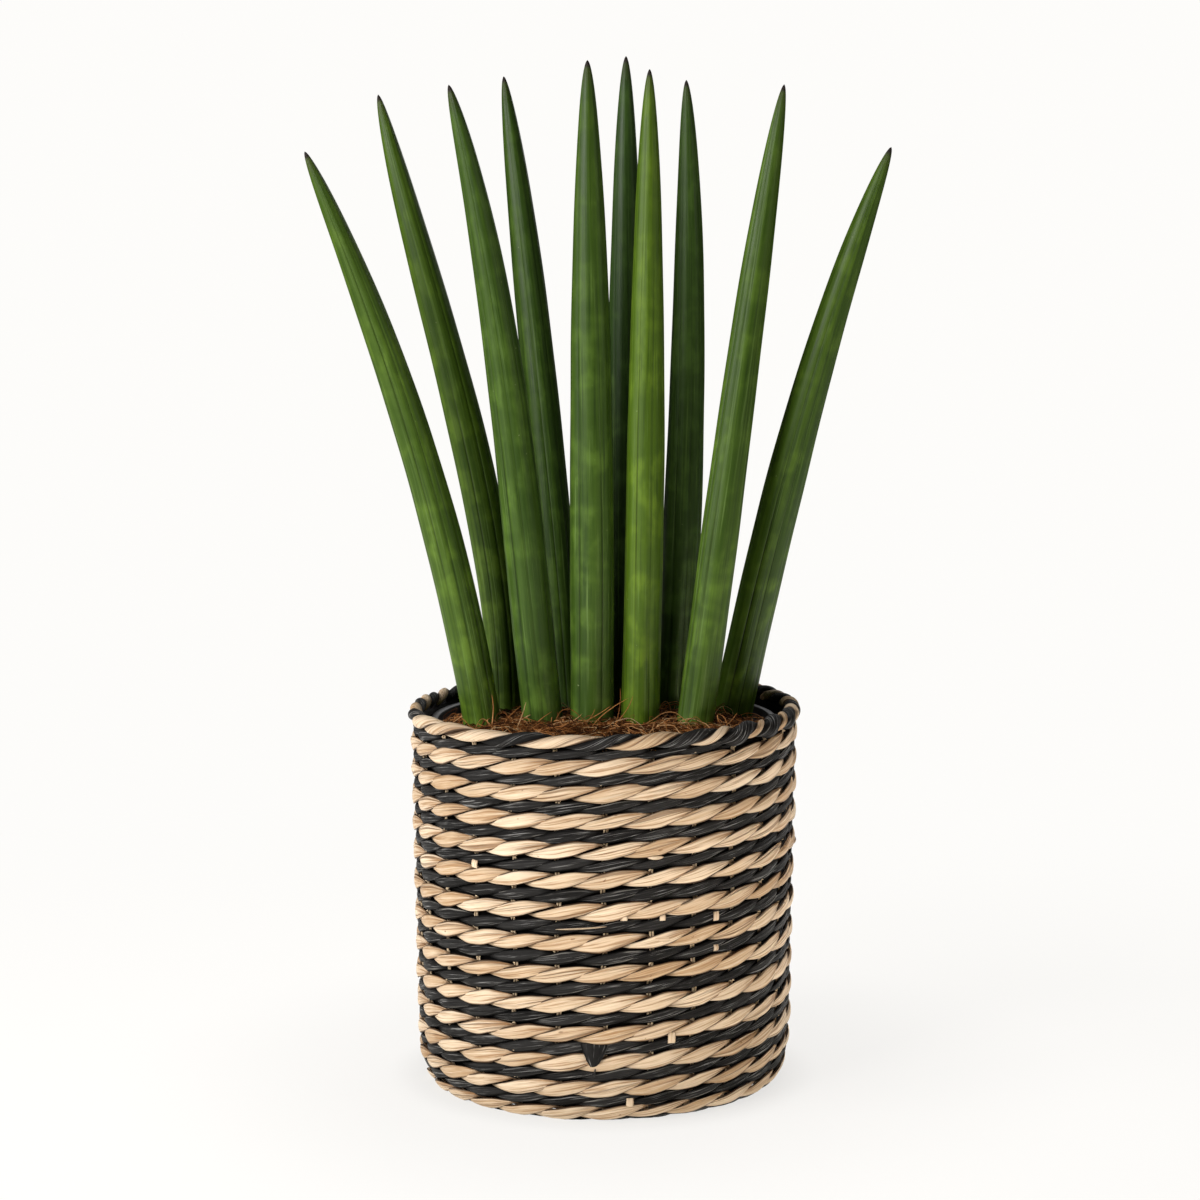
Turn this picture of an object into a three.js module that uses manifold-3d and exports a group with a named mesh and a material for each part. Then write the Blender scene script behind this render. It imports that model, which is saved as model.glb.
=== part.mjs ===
// Cylindrical snake plant in a two-colour twined basket, in millimetres, +Z up.
// The origin is the middle of the basket's flat underside. -Y is the side the fan of leaves faces.
// From outside to inside: the natural weave with its base, the black weave laid in its grooves, a
// two-strand rim, a plastic grow pot, potting soil, the rhizome in it, coir mulch on top, ten leaves.

import * as THREE from 'three';
import { mergeVertices } from 'three/addons/utils/BufferGeometryUtils.js';
import Module from 'manifold-3d';

const wasm = await Module();
wasm.setup();

const TAU = 2 * Math.PI;
const GAP = 0.3; // clearance between pieces that touch

// --- Driving dimensions: basket ---
const STAKES = 26; // upright stakes, one grain of the weave over each
const COLUMNS = 2 * STAKES; // grid columns in a turn: the middle of a grain, then a junction
const STEP = TAU / COLUMNS;
const FOOT_RADIUS = 94; // where the wall's curve starts to leave the floor
const CORNER_WIDTH = 12; // the rounded bottom corner is a quarter ellipse, this wide
const CORNER_HEIGHT = 36; // and this high
const WALL_LOW = 106.2; // radius over the weave just above the corner
const WALL_TOP = 108.9; // radius over the weave under the rim
const RELIEF = 3.0; // depth of the grooves between the natural rows
const JUNCTION_DIP = 1.2; // how far a crest drops where two grains meet
const NATURAL_TURNS = 14; // turns of the natural weft, the first of them under the base
const ROW_PITCH = 16.1; // rise in a turn: one natural and one black row
const FIRST_ROW = 8.5; // outline length at which the lowest full row crosses the front
const PACKING = 2.6; // the rows sit this much low in the lower half and high in the upper half
const GRAIN_HALF = 4.1; // half height of a natural grain at its middle
const JUNCTION_HALF = 3.4; // half height where two grains meet
const BLACK_END = 13.62; // the black weft runs out under the rim after this many turns
const BLACK_LIFT = 0.5; // clearance under the black weft
const TAPER_COLUMNS = 5; // columns over which a weft end fades in or out
const INNER_WALL = 6.4; // from the outer skin to the basket's smooth inside
const FLOOR_TOP = 5.6; // top of the woven base
const BASE_DISC = 70; // radius of the flat middle of the underside
const INSIDE_BEND = { above: 60, below: 20, offset: 2 }; // the inside narrows between these heights
const INSIDE_FOOT = 6; // the inside's floor is this much smaller in radius than the foot

// --- Driving dimensions: rim ---
const RIM_RADIUS = 105.7; // centre line of the two-strand rim
const RIM_HEIGHT = 210.3;
const RIM_LEAN = 1.1; // the rim is this much higher at +X and lower at -X
const RIM_TWISTS = 13; // full twists round the rim
const RIM_STEPS = 8 * RIM_TWISTS;
const STRAND_SIDES = 5;
const STRAND_RADIUS = 2.05;
const STRAND_OFFSET = 2.3; // from the rim's centre line to a strand's

// --- Driving dimensions: pot, soil and mulch ---
const POT_TOP = 206.6;
const POT_BOTTOM = FLOOR_TOP + GAP;
const POT_LIP = 98.4; // outer radius of the rolled lip
const POT_MOUTH = 95.6; // outer radius of the wall under the lip
const POT_BASE = 80;
const POT_WALL = 1.6;
const LIP_HEIGHT = 6;
const DRAIN_HOLES = 5;
const DRAIN_RADIUS = 5;
const SOIL_TOP = 196;
const COIR_CROWN = 209.6; // height of the mulch in the middle
const COIR_DIP = 4.2; // fall of the mulch towards the pot
const COIR_LUMP = 0.9;
const ROUND = 32; // facets round the pot, soil and mulch

// --- Driving dimensions: leaves and rhizome ---
const TAPER_LENGTH = 268; // a leaf narrows over this length to its tip
const TAPER_POWER = 2;
const TAPER_FULLNESS = 0.54;
const LEAF_SIDES = 12; // six ribs and six grooves
const GROOVE = 0.07; // groove depth as a share of the radius
const LEAF_FOOT_Z = 205; // height at which the feet below are given
const BURIED = -0.062; // a leaf starts this share of its length below its foot
const SPIKE_RADIUS = 0.5;
const STRAIGHT_SHARES = [0, 0.34, 0.67]; // rings on the untapered part of a leaf, as shares of it
const TAPER_RINGS = { count: 8, spacing: 7.4, crowding: 1.7 }; // they crowd towards the tip
const RHIZOME_RADIUS = 8;
const RHIZOME_Z = 177;
const RHIZOME_STEPS = 22;
const RHIZOME_SIDES = 6;
const HOLE_CLEARANCE = 0.6; // round a leaf where it stands in soil and mulch
const HOLE_TOP = 0.06; // a leaf's hole ends this share of its length above its foot, over the mulch

// foot x, y; tip x, y, z; bow = sideways bulge at mid length; skew moves the bulge up or down.
const LEAVES = [
  { foot: [-67.9, -25], tip: [-162.6, -37, 524], bow: 11.4, skew: 0, radius: 10.9, turn: 0.3 },
  { foot: [-55, 8], tip: [-127, 26, 556.6], bow: 10, skew: -0.7, radius: 10.8, turn: 1.1 },
  { foot: [-33.6, -30], tip: [-84, -41, 559.6], bow: 7, skew: 0.6, radius: 11.3, turn: 0.1 },
  { foot: [-21, 18], tip: [-57, 48, 567.6], bow: 3, skew: 0.2, radius: 10.8, turn: 0.7 },
  { foot: [-6.5, -31], tip: [-9, -36, 573], bow: 0.7, skew: 0, radius: 12.1, turn: 0.2 },
  { foot: [12, 3], tip: [12.3, 14, 577.4], bow: 0, skew: 0, radius: 10.8, turn: 0.9 },
  { foot: [20, -31], tip: [24.6, -41, 568], bow: 1, skew: -0.4, radius: 10.5, turn: 0.45 },
  { foot: [39.8, 16], tip: [46.2, 22, 564.6], bow: 4, skew: 0.3, radius: 10.8, turn: 0.15 },
  { foot: [50.3, -34], tip: [97.6, -37, 560], bow: -1.3, skew: 0.8, radius: 10.4, turn: 0.6 },
  { foot: [72.5, 8], tip: [157, -26, 526.6], bow: -7, skew: 0.3, radius: 11.4, turn: 0.35 },
];
// The rhizome creeps from leaf to leaf: along the back of the fan, round, and back along its front.
const RHIZOME_ORDER = [1, 3, 5, 7, 9, 8, 6, 4, 2, 0];

// --- Finishes ---
const finish = (color, roughness) => new THREE.MeshStandardMaterial({ color, roughness, metalness: 0 });
const naturalRush = finish(0xd9b88c, 0.7);
const blackRush = finish(0x26262a, 0.5);
const potPlastic = finish(0x1c1d1f, 0.45);
const soilFinish = finish(0x2e2018, 0.95);
const coirFinish = finish(0x8a4a2a, 0.9);
const rhizomeFinish = finish(0xc98f4e, 0.7);
const leafFinish = finish(0x3c6b34, 0.4);

// --- Mesh helpers ---
function polar(radius, angle, z) {
  return new THREE.Vector3(radius * Math.cos(angle), radius * Math.sin(angle), z);
}

function geometryFrom(points, triangles) {
  const geometry = new THREE.BufferGeometry();
  const positions = points.flatMap((p) => [p.x, p.y, p.z]);
  geometry.setAttribute('position', new THREE.Float32BufferAttribute(positions, 3));
  geometry.setIndex(triangles.flat());
  return geometry;
}

function mesh(name, geometry, material) {
  const body = new THREE.Mesh(geometry, material);
  body.name = name;
  return body;
}

// A skin through rings of points, each ring anticlockwise seen from beyond the last ring. An open
// skin is capped by fans to startPoint and endPoint; a closed one joins its last ring to its first.
// The four-sided faces are split along one diagonal, and those of the side flippedSide by the other.
function skin(rings, startPoint, endPoint, flippedSide = -1) {
  const sides = rings[0].length;
  const closed = startPoint === undefined;
  const points = rings.flat();
  const triangles = [];
  const strips = closed ? rings.length : rings.length - 1;
  for (let k = 0; k < strips; k++) {
    for (let i = 0; i < sides; i++) {
      const a = k * sides + i;
      const b = k * sides + ((i + 1) % sides);
      const c = ((k + 1) % rings.length) * sides + i;
      const d = ((k + 1) % rings.length) * sides + ((i + 1) % sides);
      if (i === flippedSide) triangles.push([a, b, c], [b, d, c]);
      else triangles.push([a, b, d], [a, d, c]);
    }
  }
  if (!closed) {
    const first = points.push(startPoint) - 1;
    const last = points.push(endPoint) - 1;
    const top = (rings.length - 1) * sides;
    for (let i = 0; i < sides; i++) {
      triangles.push([first, (i + 1) % sides, i], [last, top + i, top + ((i + 1) % sides)]);
    }
  }
  return geometryFrom(points, triangles);
}

function solidFrom(geometry) {
  const bare = geometry.clone();
  bare.deleteAttribute('normal');
  bare.deleteAttribute('uv');
  const merged = mergeVertices(bare, 1e-4);
  const vertProperties = new Float32Array(merged.attributes.position.array);
  const triVerts = new Uint32Array(merged.index.array);
  return new wasm.Manifold(new wasm.Mesh({ numProp: 3, vertProperties, triVerts }));
}

function geometryOf(solid) {
  const result = solid.getMesh();
  const geometry = new THREE.BufferGeometry();
  geometry.setAttribute('position', new THREE.BufferAttribute(result.vertProperties, 3));
  geometry.setIndex(new THREE.BufferAttribute(result.triVerts, 1));
  return geometry;
}

function carve(geometry, cutters) {
  const carved = cutters.reduce((solid, cutter) => solid.subtract(solidFrom(cutter)), solidFrom(geometry));
  return geometryOf(carved);
}

// --- Basket: the outer skin and the spiral of rows on it ---
// Points along the corner's quarter ellipse, radius and height, from the foot to the wall.
const CORNER = Array.from({ length: 61 }, (_, k) => {
  const t = (k / 60) * (Math.PI / 2);
  return [FOOT_RADIUS + CORNER_WIDTH * Math.sin(t), CORNER_HEIGHT * (1 - Math.cos(t))];
});

// The outline of the weave at length s from the foot: flat underside, rounded corner, then the wall.
function outline(s) {
  if (s <= 0) return { r: FOOT_RADIUS + s, z: 0, outR: 0, outZ: -1 };
  let left = s;
  for (let k = 1; k < CORNER.length; k++) {
    const [r0, z0] = CORNER[k - 1];
    const [r1, z1] = CORNER[k];
    const chord = Math.hypot(r1 - r0, z1 - z0);
    if (left <= chord) {
      const part = left / chord;
      return {
        r: r0 + (r1 - r0) * part,
        z: z0 + (z1 - z0) * part,
        outR: (z1 - z0) / chord,
        outZ: -(r1 - r0) / chord,
      };
    }
    left -= chord;
  }
  const z = CORNER_HEIGHT + left;
  const slope = (WALL_TOP - WALL_LOW) / (RIM_HEIGHT - CORNER_HEIGHT);
  return { r: WALL_LOW + slope * left, z, outR: 1, outZ: 0 };
}

const CORNER_LENGTH = CORNER.slice(1).reduce(
  (sum, [r, z], k) => sum + Math.hypot(r - CORNER[k][0], z - CORNER[k][1]), 0);

function skinPoint(s, angle, depth) {
  const o = outline(s);
  return polar(o.r - depth * o.outR, angle, o.z - depth * o.outZ);
}

// Turn 0 starts at the back, and the rows climb anticlockwise seen from above.
const columnAngle = (i) => TAU / 4 + i * STEP;
const rimHeight = (angle) => RIM_HEIGHT + RIM_LEAN * Math.cos(angle);
const seatHeight = (angle) => rimHeight(angle) - STRAND_OFFSET - STRAND_RADIUS - GAP;
const lengthAt = (z) => z - CORNER_HEIGHT + CORNER_LENGTH;

function rowCentre(i) {
  const turn = i / COLUMNS - 1.5;
  return FIRST_ROW + ROW_PITCH * turn - PACKING * Math.sin((TAU * turn) / 12);
}

// How much of the full relief a weft has at column i, from 0 at its ends.
function presence(i, last) {
  return Math.min(1, i / TAPER_COLUMNS, (last - i) / TAPER_COLUMNS);
}

const LAST_COLUMN = NATURAL_TURNS * COLUMNS;

// Lower edge, crest and upper edge of the natural weft at column i. The edges lie half a column back
// and half a column on, so that the junctions between grains slant up to the right.
function naturalColumn(i) {
  const angle = columnAngle(i);
  const middle = i % 2 === 0;
  const strength = presence(i, LAST_COLUMN);
  const half = middle ? GRAIN_HALF : JUNCTION_HALF;
  const ceiling = lengthAt(seatHeight(angle)) - 2 * GAP;
  const lower = Math.min(rowCentre(i) - half, ceiling - 1);
  const upper = Math.min(rowCentre(i) + half, ceiling);
  const fullness = strength * ((upper - lower) / (2 * half));
  const crestDepth = RELIEF - (RELIEF - (middle ? 0 : JUNCTION_DIP)) * fullness;
  const shear = (STEP / 2) * strength;
  return {
    lower: { s: lower, angle: angle - shear },
    upper: { s: upper, angle: angle + shear },
    crest: skinPoint((lower + upper) / 2, angle, crestDepth),
  };
}

const NATURAL = Array.from({ length: LAST_COLUMN + 1 }, (_, i) => naturalColumn(i));

// Rings of the basket's inside, from the seat under the rim down to the woven base.
const INSIDE = [
  (angle) => polar(WALL_TOP - INNER_WALL, angle, seatHeight(angle)),
  (angle) => polar(WALL_LOW - INNER_WALL, angle, INSIDE_BEND.above),
  (angle) => polar(FOOT_RADIUS + INSIDE_BEND.offset, angle, INSIDE_BEND.below),
  (angle) => polar(FOOT_RADIUS - INSIDE_FOOT, angle, FLOOR_TOP),
];

function naturalWeave() {
  const points = [];
  const put = (point) => points.push(point) - 1;
  const edge = (e) => put(skinPoint(e.s, e.angle, RELIEF));
  const low = NATURAL.map((c) => edge(c.lower));
  const crest = NATURAL.map((c) => put(c.crest));
  const high = NATURAL.map((c) => edge(c.upper));
  const ring = (place) => Array.from({ length: COLUMNS }, (_, j) => put(place(columnAngle(j))));
  const foot = ring((angle) => polar(BASE_DISC, angle, 0));
  const seat = ring((angle) => polar(WALL_TOP - RELIEF, angle, seatHeight(angle)));
  const inside = INSIDE.map(ring);
  const underside = put(new THREE.Vector3(0, 0, 0));
  const floor = put(new THREE.Vector3(0, 0, FLOOR_TOP));

  const triangles = [];
  const quad = (a, b, c, d) => triangles.push([a, b, d], [b, c, d]);
  // A quad whose far side is broken by extra points is filled by a fan from its near corner.
  const fan = (apex, others) => {
    for (let k = 1; k < others.length; k++) triangles.push([apex, others[k - 1], others[k]]);
  };

  for (let i = 0; i < LAST_COLUMN; i++) {
    quad(low[i], low[i + 1], crest[i + 1], crest[i]);
    quad(crest[i], crest[i + 1], high[i + 1], high[i]);
  }
  for (let i = 0; i < LAST_COLUMN - COLUMNS; i++) {
    quad(high[i + 1], low[i + 1 + COLUMNS], low[i + COLUMNS], high[i]);
  }
  for (let j = 0; j < COLUMNS - 1; j++) {
    quad(foot[j], foot[j + 1], low[j + 1], low[j]);
  }
  fan(low[COLUMNS - 1], [foot[COLUMNS - 1], foot[0], low[0], crest[0], high[0], low[COLUMNS]]);

  const top = LAST_COLUMN - COLUMNS;
  const weftEnd = [high[LAST_COLUMN], crest[LAST_COLUMN], low[LAST_COLUMN]];
  fan(seat[1], [seat[0], ...weftEnd, high[top], high[top + 1]]);
  for (let j = 1; j < COLUMNS; j++) {
    quad(high[top + j], high[top + j + 1], seat[(j + 1) % COLUMNS], seat[j]);
  }
  for (let j = 0; j < COLUMNS; j++) {
    const next = (j + 1) % COLUMNS;
    quad(seat[j], seat[next], inside[0][next], inside[0][j]);
    for (let k = 1; k < inside.length; k++) {
      quad(inside[k - 1][j], inside[k - 1][next], inside[k][next], inside[k][j]);
    }
    triangles.push([floor, inside[inside.length - 1][j], inside[inside.length - 1][next]]);
    triangles.push([underside, foot[next], foot[j]]);
  }
  return mesh('basket_natural_weave', geometryFrom(points, triangles), naturalRush);
}

// The black weft fills the groove between two natural rows. Its lower edge follows the row below and
// its upper edge the row above, each a column aside, so that its grains slant as the natural ones do.
function blackWeave() {
  const last = Math.round(BLACK_END * COLUMNS);
  const rings = [];
  for (let j = 1; j <= last; j++) {
    const below = NATURAL[j - 1].upper;
    const aboveIndex = j + 1 + COLUMNS;
    const shear = STEP / 2;
    const seat = lengthAt(seatHeight(columnAngle(j))) - GAP;
    const free = rowCentre(aboveIndex) - (aboveIndex % 2 === 0 ? GRAIN_HALF : JUNCTION_HALF);
    const above = aboveIndex <= LAST_COLUMN ? NATURAL[aboveIndex].lower
      : { s: Math.min(free, seat), angle: columnAngle(j) + shear };
    const from = below.s + GAP;
    const to = Math.max(above.s - GAP, from + GAP);
    const strength = presence(j - 1, last + 1);
    const dip = j % 2 === 0 ? GAP : JUNCTION_DIP;
    const floorDepth = RELIEF - BLACK_LIFT;
    const crestDepth = floorDepth - Math.max((floorDepth - dip) * strength, 2 * GAP);
    rings.push([
      skinPoint(from, below.angle, floorDepth),
      skinPoint((from + to) / 2, columnAngle(j), crestDepth),
      skinPoint(to, above.angle, floorDepth),
    ].reverse());
  }
  const middle = (ring) => ring.reduce((sum, p) => sum.add(p), new THREE.Vector3()).divideScalar(3);
  const backSide = 2;
  const geometry = skin(rings, middle(rings[0]), middle(rings[rings.length - 1]), backSide);
  return mesh('basket_black_weave', geometry, blackRush);
}

// One strand of the rim: a round section carried round the rim while it circles the centre line.
function rimStrand(name, phase, material) {
  const rings = [];
  for (let k = 0; k < RIM_STEPS; k++) {
    const angle = (k / RIM_STEPS) * TAU;
    const twist = phase + RIM_TWISTS * angle;
    const radius = RIM_RADIUS + STRAND_OFFSET * Math.cos(twist);
    const z = rimHeight(angle) + STRAND_OFFSET * Math.sin(twist);
    rings.push(Array.from({ length: STRAND_SIDES }, (_, i) => {
      const around = twist - (i / STRAND_SIDES) * TAU;
      return polar(radius + STRAND_RADIUS * Math.cos(around), angle, z + STRAND_RADIUS * Math.sin(around));
    }));
  }
  return mesh(name, skin(rings), material);
}

// --- Grow pot, soil and mulch ---
function growPot() {
  const lipInner = POT_MOUTH - POT_WALL;
  const profile = [
    [0, POT_BOTTOM],
    [POT_BASE, POT_BOTTOM],
    [POT_MOUTH, POT_TOP - LIP_HEIGHT],
    [POT_LIP, POT_TOP - LIP_HEIGHT],
    [POT_LIP, POT_TOP - 1],
    [POT_LIP - 1, POT_TOP],
    [lipInner + 1, POT_TOP],
    [lipInner, POT_TOP - 2],
    [POT_BASE - POT_WALL, POT_BOTTOM + 2],
    [0, POT_BOTTOM + 2],
  ].map(([r, z]) => new THREE.Vector2(r, z));
  const shell = new THREE.LatheGeometry(profile, ROUND);
  shell.rotateX(Math.PI / 2);
  const drains = Array.from({ length: DRAIN_HOLES }, (_, k) => {
    const drill = new THREE.CylinderGeometry(DRAIN_RADIUS, DRAIN_RADIUS, 12, 8);
    const place = polar(POT_BASE * 0.7, (k / DRAIN_HOLES) * TAU, POT_BOTTOM);
    return drill.rotateX(Math.PI / 2).translate(place.x, place.y, place.z);
  });
  return mesh('grow_pot', carve(shell, drains), potPlastic);
}

function potInnerRadius(z) {
  const share = (z - POT_BOTTOM) / (POT_TOP - LIP_HEIGHT - POT_BOTTOM);
  return POT_BASE + (POT_MOUTH - POT_BASE) * Math.min(share, 1) - POT_WALL - 2 * GAP;
}

const circle = (radius, z) => Array.from({ length: ROUND }, (_, i) => polar(radius, (i / ROUND) * TAU, z));

function pottingSoil(hollows) {
  const low = POT_BOTTOM + 2 + GAP;
  const rings = [circle(potInnerRadius(low), low), circle(potInnerRadius(SOIL_TOP), SOIL_TOP)];
  const block = skin(rings, new THREE.Vector3(0, 0, low), new THREE.Vector3(0, 0, SOIL_TOP));
  return mesh('potting_soil', carve(block, hollows), soilFinish);
}

// The mulch's top falls towards the pot and is broken by lumps, a sum of three waves.
function coirHeight(radius, angle) {
  const x = radius * Math.cos(angle);
  const y = radius * Math.sin(angle);
  const waves = Math.sin(0.21 * x + 0.4) + Math.sin(0.25 * y - 0.13 * x) + Math.sin(0.37 * y + 1.3);
  return COIR_CROWN - COIR_DIP * (radius / POT_MOUTH) ** 4 + (COIR_LUMP * waves) / 3;
}

function coirMulch(leafHoles) {
  const low = SOIL_TOP + GAP;
  const edge = potInnerRadius(low);
  const layer = (radius) => Array.from({ length: ROUND }, (_, i) => {
    const angle = (i / ROUND) * TAU;
    return polar(radius, angle, coirHeight(radius, angle));
  });
  const rings = [circle(edge, low), ...[1, 0.82, 0.62, 0.42, 0.2].map((share) => layer(edge * share))];
  const crown = new THREE.Vector3(0, 0, coirHeight(0, 0));
  const mat = skin(rings, new THREE.Vector3(0, 0, low), crown);
  return mesh('coir_mulch', carve(mat, leafHoles), coirFinish);
}

// --- Leaves and rhizome ---
// A leaf's centre line: straight from foot to tip, plus a bow to the side.
function leafPoint(leaf, t) {
  const [footX, footY] = leaf.foot;
  const [tipX, tipY, tipZ] = leaf.tip;
  const bulge = leaf.bow * 4 * t * (1 - t) * (1 + leaf.skew * (2 * t - 1));
  const x = footX + (tipX - footX) * t + bulge;
  return new THREE.Vector3(x, footY + (tipY - footY) * t, LEAF_FOOT_Z + (tipZ - LEAF_FOOT_Z) * t);
}

const leafLength = (leaf) => leafPoint(leaf, 0).distanceTo(leafPoint(leaf, 1));

function leafRadius(leaf, t) {
  const fromTip = Math.min(((1 - t) * leafLength(leaf)) / TAPER_LENGTH, 1);
  const share = (1 - (1 - fromTip) ** TAPER_POWER) ** TAPER_FULLNESS;
  return Math.max(leaf.radius * share, SPIKE_RADIUS);
}

// A ring square to the leaf; reach(i) is its radius at side i.
function leafRing(leaf, t, sides, reach) {
  const centre = leafPoint(leaf, t);
  const along = leafPoint(leaf, t + 0.01).sub(leafPoint(leaf, t - 0.01)).normalize();
  const across = new THREE.Vector3(1, 0, 0).addScaledVector(along, -along.x).normalize();
  const away = new THREE.Vector3().crossVectors(along, across);
  return Array.from({ length: sides }, (_, i) => {
    const angle = leaf.turn + (i / sides) * TAU;
    const side = across.clone().multiplyScalar(Math.cos(angle)).addScaledVector(away, Math.sin(angle));
    return centre.clone().addScaledVector(side, reach(i));
  });
}

function leafBody(leaf, index) {
  const taperStart = 1 - TAPER_LENGTH / leafLength(leaf);
  const straight = STRAIGHT_SHARES.map((share) => BURIED + (taperStart - BURIED) * share);
  const { count, spacing, crowding } = TAPER_RINGS;
  const tapered = Array.from(
    { length: count }, (_, k) => 1 - (1 - taperStart) * (1 - k / spacing) ** crowding);
  const rings = [...straight, ...tapered].map((t) => {
    const ribbed = (i) => leafRadius(leaf, t) * (i % 2 === 0 ? 1 : 1 - GROOVE);
    return leafRing(leaf, t, LEAF_SIDES, ribbed);
  });
  const geometry = skin(rings, leafPoint(leaf, BURIED), leafPoint(leaf, 1));
  return mesh(`leaf_${String(index + 1).padStart(2, '0')}`, geometry, leafFinish);
}

// The plain hole in which a leaf stands, from just below the leaf to above the mulch. Its flat sides
// clear the leaf all round.
function leafHole(leaf, sides) {
  const low = BURIED - 0.0012;
  const reach = (leaf.radius + HOLE_CLEARANCE) / Math.cos(Math.PI / sides);
  const rings = [low, HOLE_TOP].map((t) => leafRing(leaf, t, sides, () => reach));
  return skin(rings, leafPoint(leaf, low), leafPoint(leaf, HOLE_TOP));
}

// A round tube along the rhizome's level path.
function rhizomeTube(radius, overshoot) {
  const stops = RHIZOME_ORDER.map((k) => new THREE.Vector3(...LEAVES[k].foot, RHIZOME_Z));
  const path = new THREE.CatmullRomCurve3(stops);
  const up = new THREE.Vector3(0, 0, 1);
  const rings = Array.from({ length: RHIZOME_STEPS + 1 }, (_, k) => {
    const t = k / RHIZOME_STEPS;
    const side = new THREE.Vector3().crossVectors(path.getTangentAt(t), up).normalize();
    return Array.from({ length: RHIZOME_SIDES }, (_unused, i) => {
      const angle = (i / RHIZOME_SIDES) * TAU;
      return path.getPointAt(t).addScaledVector(up, radius * Math.cos(angle))
        .addScaledVector(side, radius * Math.sin(angle));
    });
  });
  const start = path.getPointAt(0).addScaledVector(path.getTangentAt(0), -overshoot);
  const end = path.getPointAt(1).addScaledVector(path.getTangentAt(1), overshoot);
  return skin(rings, start, end);
}

function rhizome(leafSockets) {
  const tube = rhizomeTube(RHIZOME_RADIUS, RHIZOME_RADIUS / 2);
  return mesh('rhizome', carve(tube, leafSockets), rhizomeFinish);
}

// --- Assembly ---
const group = new THREE.Group();
const mulchHoles = LEAVES.map((leaf) => leafHole(leaf, 10));
const soilHoles = LEAVES.map((leaf) => leafHole(leaf, 7));
const rhizomeRoom = rhizomeTube(RHIZOME_RADIUS + 2 * GAP, RHIZOME_RADIUS / 2 + 2 * GAP);
group.add(naturalWeave());
group.add(blackWeave());
group.add(rimStrand('rim_natural_strand', Math.PI / 2, naturalRush));
group.add(rimStrand('rim_black_strand', -Math.PI / 2, blackRush));
group.add(growPot());
group.add(pottingSoil([...soilHoles, rhizomeRoom]));
group.add(coirMulch(mulchHoles));
group.add(rhizome(soilHoles));
LEAVES.forEach((leaf, index) => group.add(leafBody(leaf, index)));

export default group;
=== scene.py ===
"""A cylindrical snake plant in a two-colour twined basket.

All shapes are worked out in millimetres, +Z up, from the middle of the basket's underside, with -Y the
side that the fan of leaves faces. They become metres when a mesh is filled.
"""

from math import cos, pi, radians, sin

import bpy
import numpy as np
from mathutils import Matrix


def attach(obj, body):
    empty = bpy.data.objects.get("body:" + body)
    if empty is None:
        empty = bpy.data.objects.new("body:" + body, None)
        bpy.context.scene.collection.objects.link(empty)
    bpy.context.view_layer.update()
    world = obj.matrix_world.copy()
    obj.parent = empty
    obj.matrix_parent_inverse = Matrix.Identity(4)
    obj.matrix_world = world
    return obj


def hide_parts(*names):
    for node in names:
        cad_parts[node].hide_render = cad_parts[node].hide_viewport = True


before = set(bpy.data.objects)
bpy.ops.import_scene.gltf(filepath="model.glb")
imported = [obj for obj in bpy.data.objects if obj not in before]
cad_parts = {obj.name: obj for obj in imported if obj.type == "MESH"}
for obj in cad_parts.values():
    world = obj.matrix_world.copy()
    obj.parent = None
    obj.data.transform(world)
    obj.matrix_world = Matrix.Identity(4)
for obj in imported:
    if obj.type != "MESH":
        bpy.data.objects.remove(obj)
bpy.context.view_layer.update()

MM = 0.001
TAU = 2 * pi

# Basket. Its outline is a flat underside, a round corner up from the foot, and a wall that leans out.
STAKES = 26
STAKE_RADIUS = 0.62
STAKE_SPLIT = 0.8  # half the distance between the two rods of a stake
STAKE_DEPTH = 2.7  # how deep in the skin the stakes lie
STAKE_SHOWS = 4.7  # a stake shows this far above and below the middle of each natural row
TWISTS = STAKES / 2  # full twists of the weft in a turn: each ply passes over every other stake
FOOT_RADIUS = 94.0
CORNER_WIDTH = 12.0
CORNER_HEIGHT = 36.0
WALL_LOW = 106.2
WALL_TOP = 108.9
WALL_MIDDLE = 108  # the radius that turns a length along the wall into an angle
ROW_PITCH = 16.1
FIRST_ROW = 8.5
ROW_DRIFT = 2.6  # how far the slow wave of the rows moves them, because the weaver packs them unevenly
NATURAL_TURNS = 14.0
BLACK_TURNS = 13.62
BASE_START = -4.66  # the wefts start this many turns inside the foot, near the middle of the underside
STRIP_LIFT = 1.3
STRIP_THICKNESS = 0.55
RIM_RADIUS = 106.6
RIM_HEIGHT = 210.3
RIM_LEAN = 1.1  # the rim's right side is this much above its middle, and its left side below
ROPE_RADIUS = 4.3
ROPE_LIFT = 0.5  # the rope's middle lies this much above the top of the wall

# Pot and mulch
POT_TOP = 206.6
POT_BOTTOM = 5.9
POT_LIP = 98.4
POT_MOUTH = 95.6
POT_BASE = 80.0
POT_WALL = 1.6
COIR_CROWN = 208.8
COIR_DIP = 4.2
MAT_RADIUS = 93.2
MAT_UNDERSIDE = 196.4
FIBRE_RANGE = 91.5  # no fibre reaches further from the axis

# Leaves
LEAF_FOOT_Z = 205.0
BURIED = -0.062  # a leaf starts at this share of its length, below its foot
TAPER_LENGTH = 268.0
TAPER_POWER = 2.0
TAPER_FULLNESS = 0.54
RIBS = 8

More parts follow.
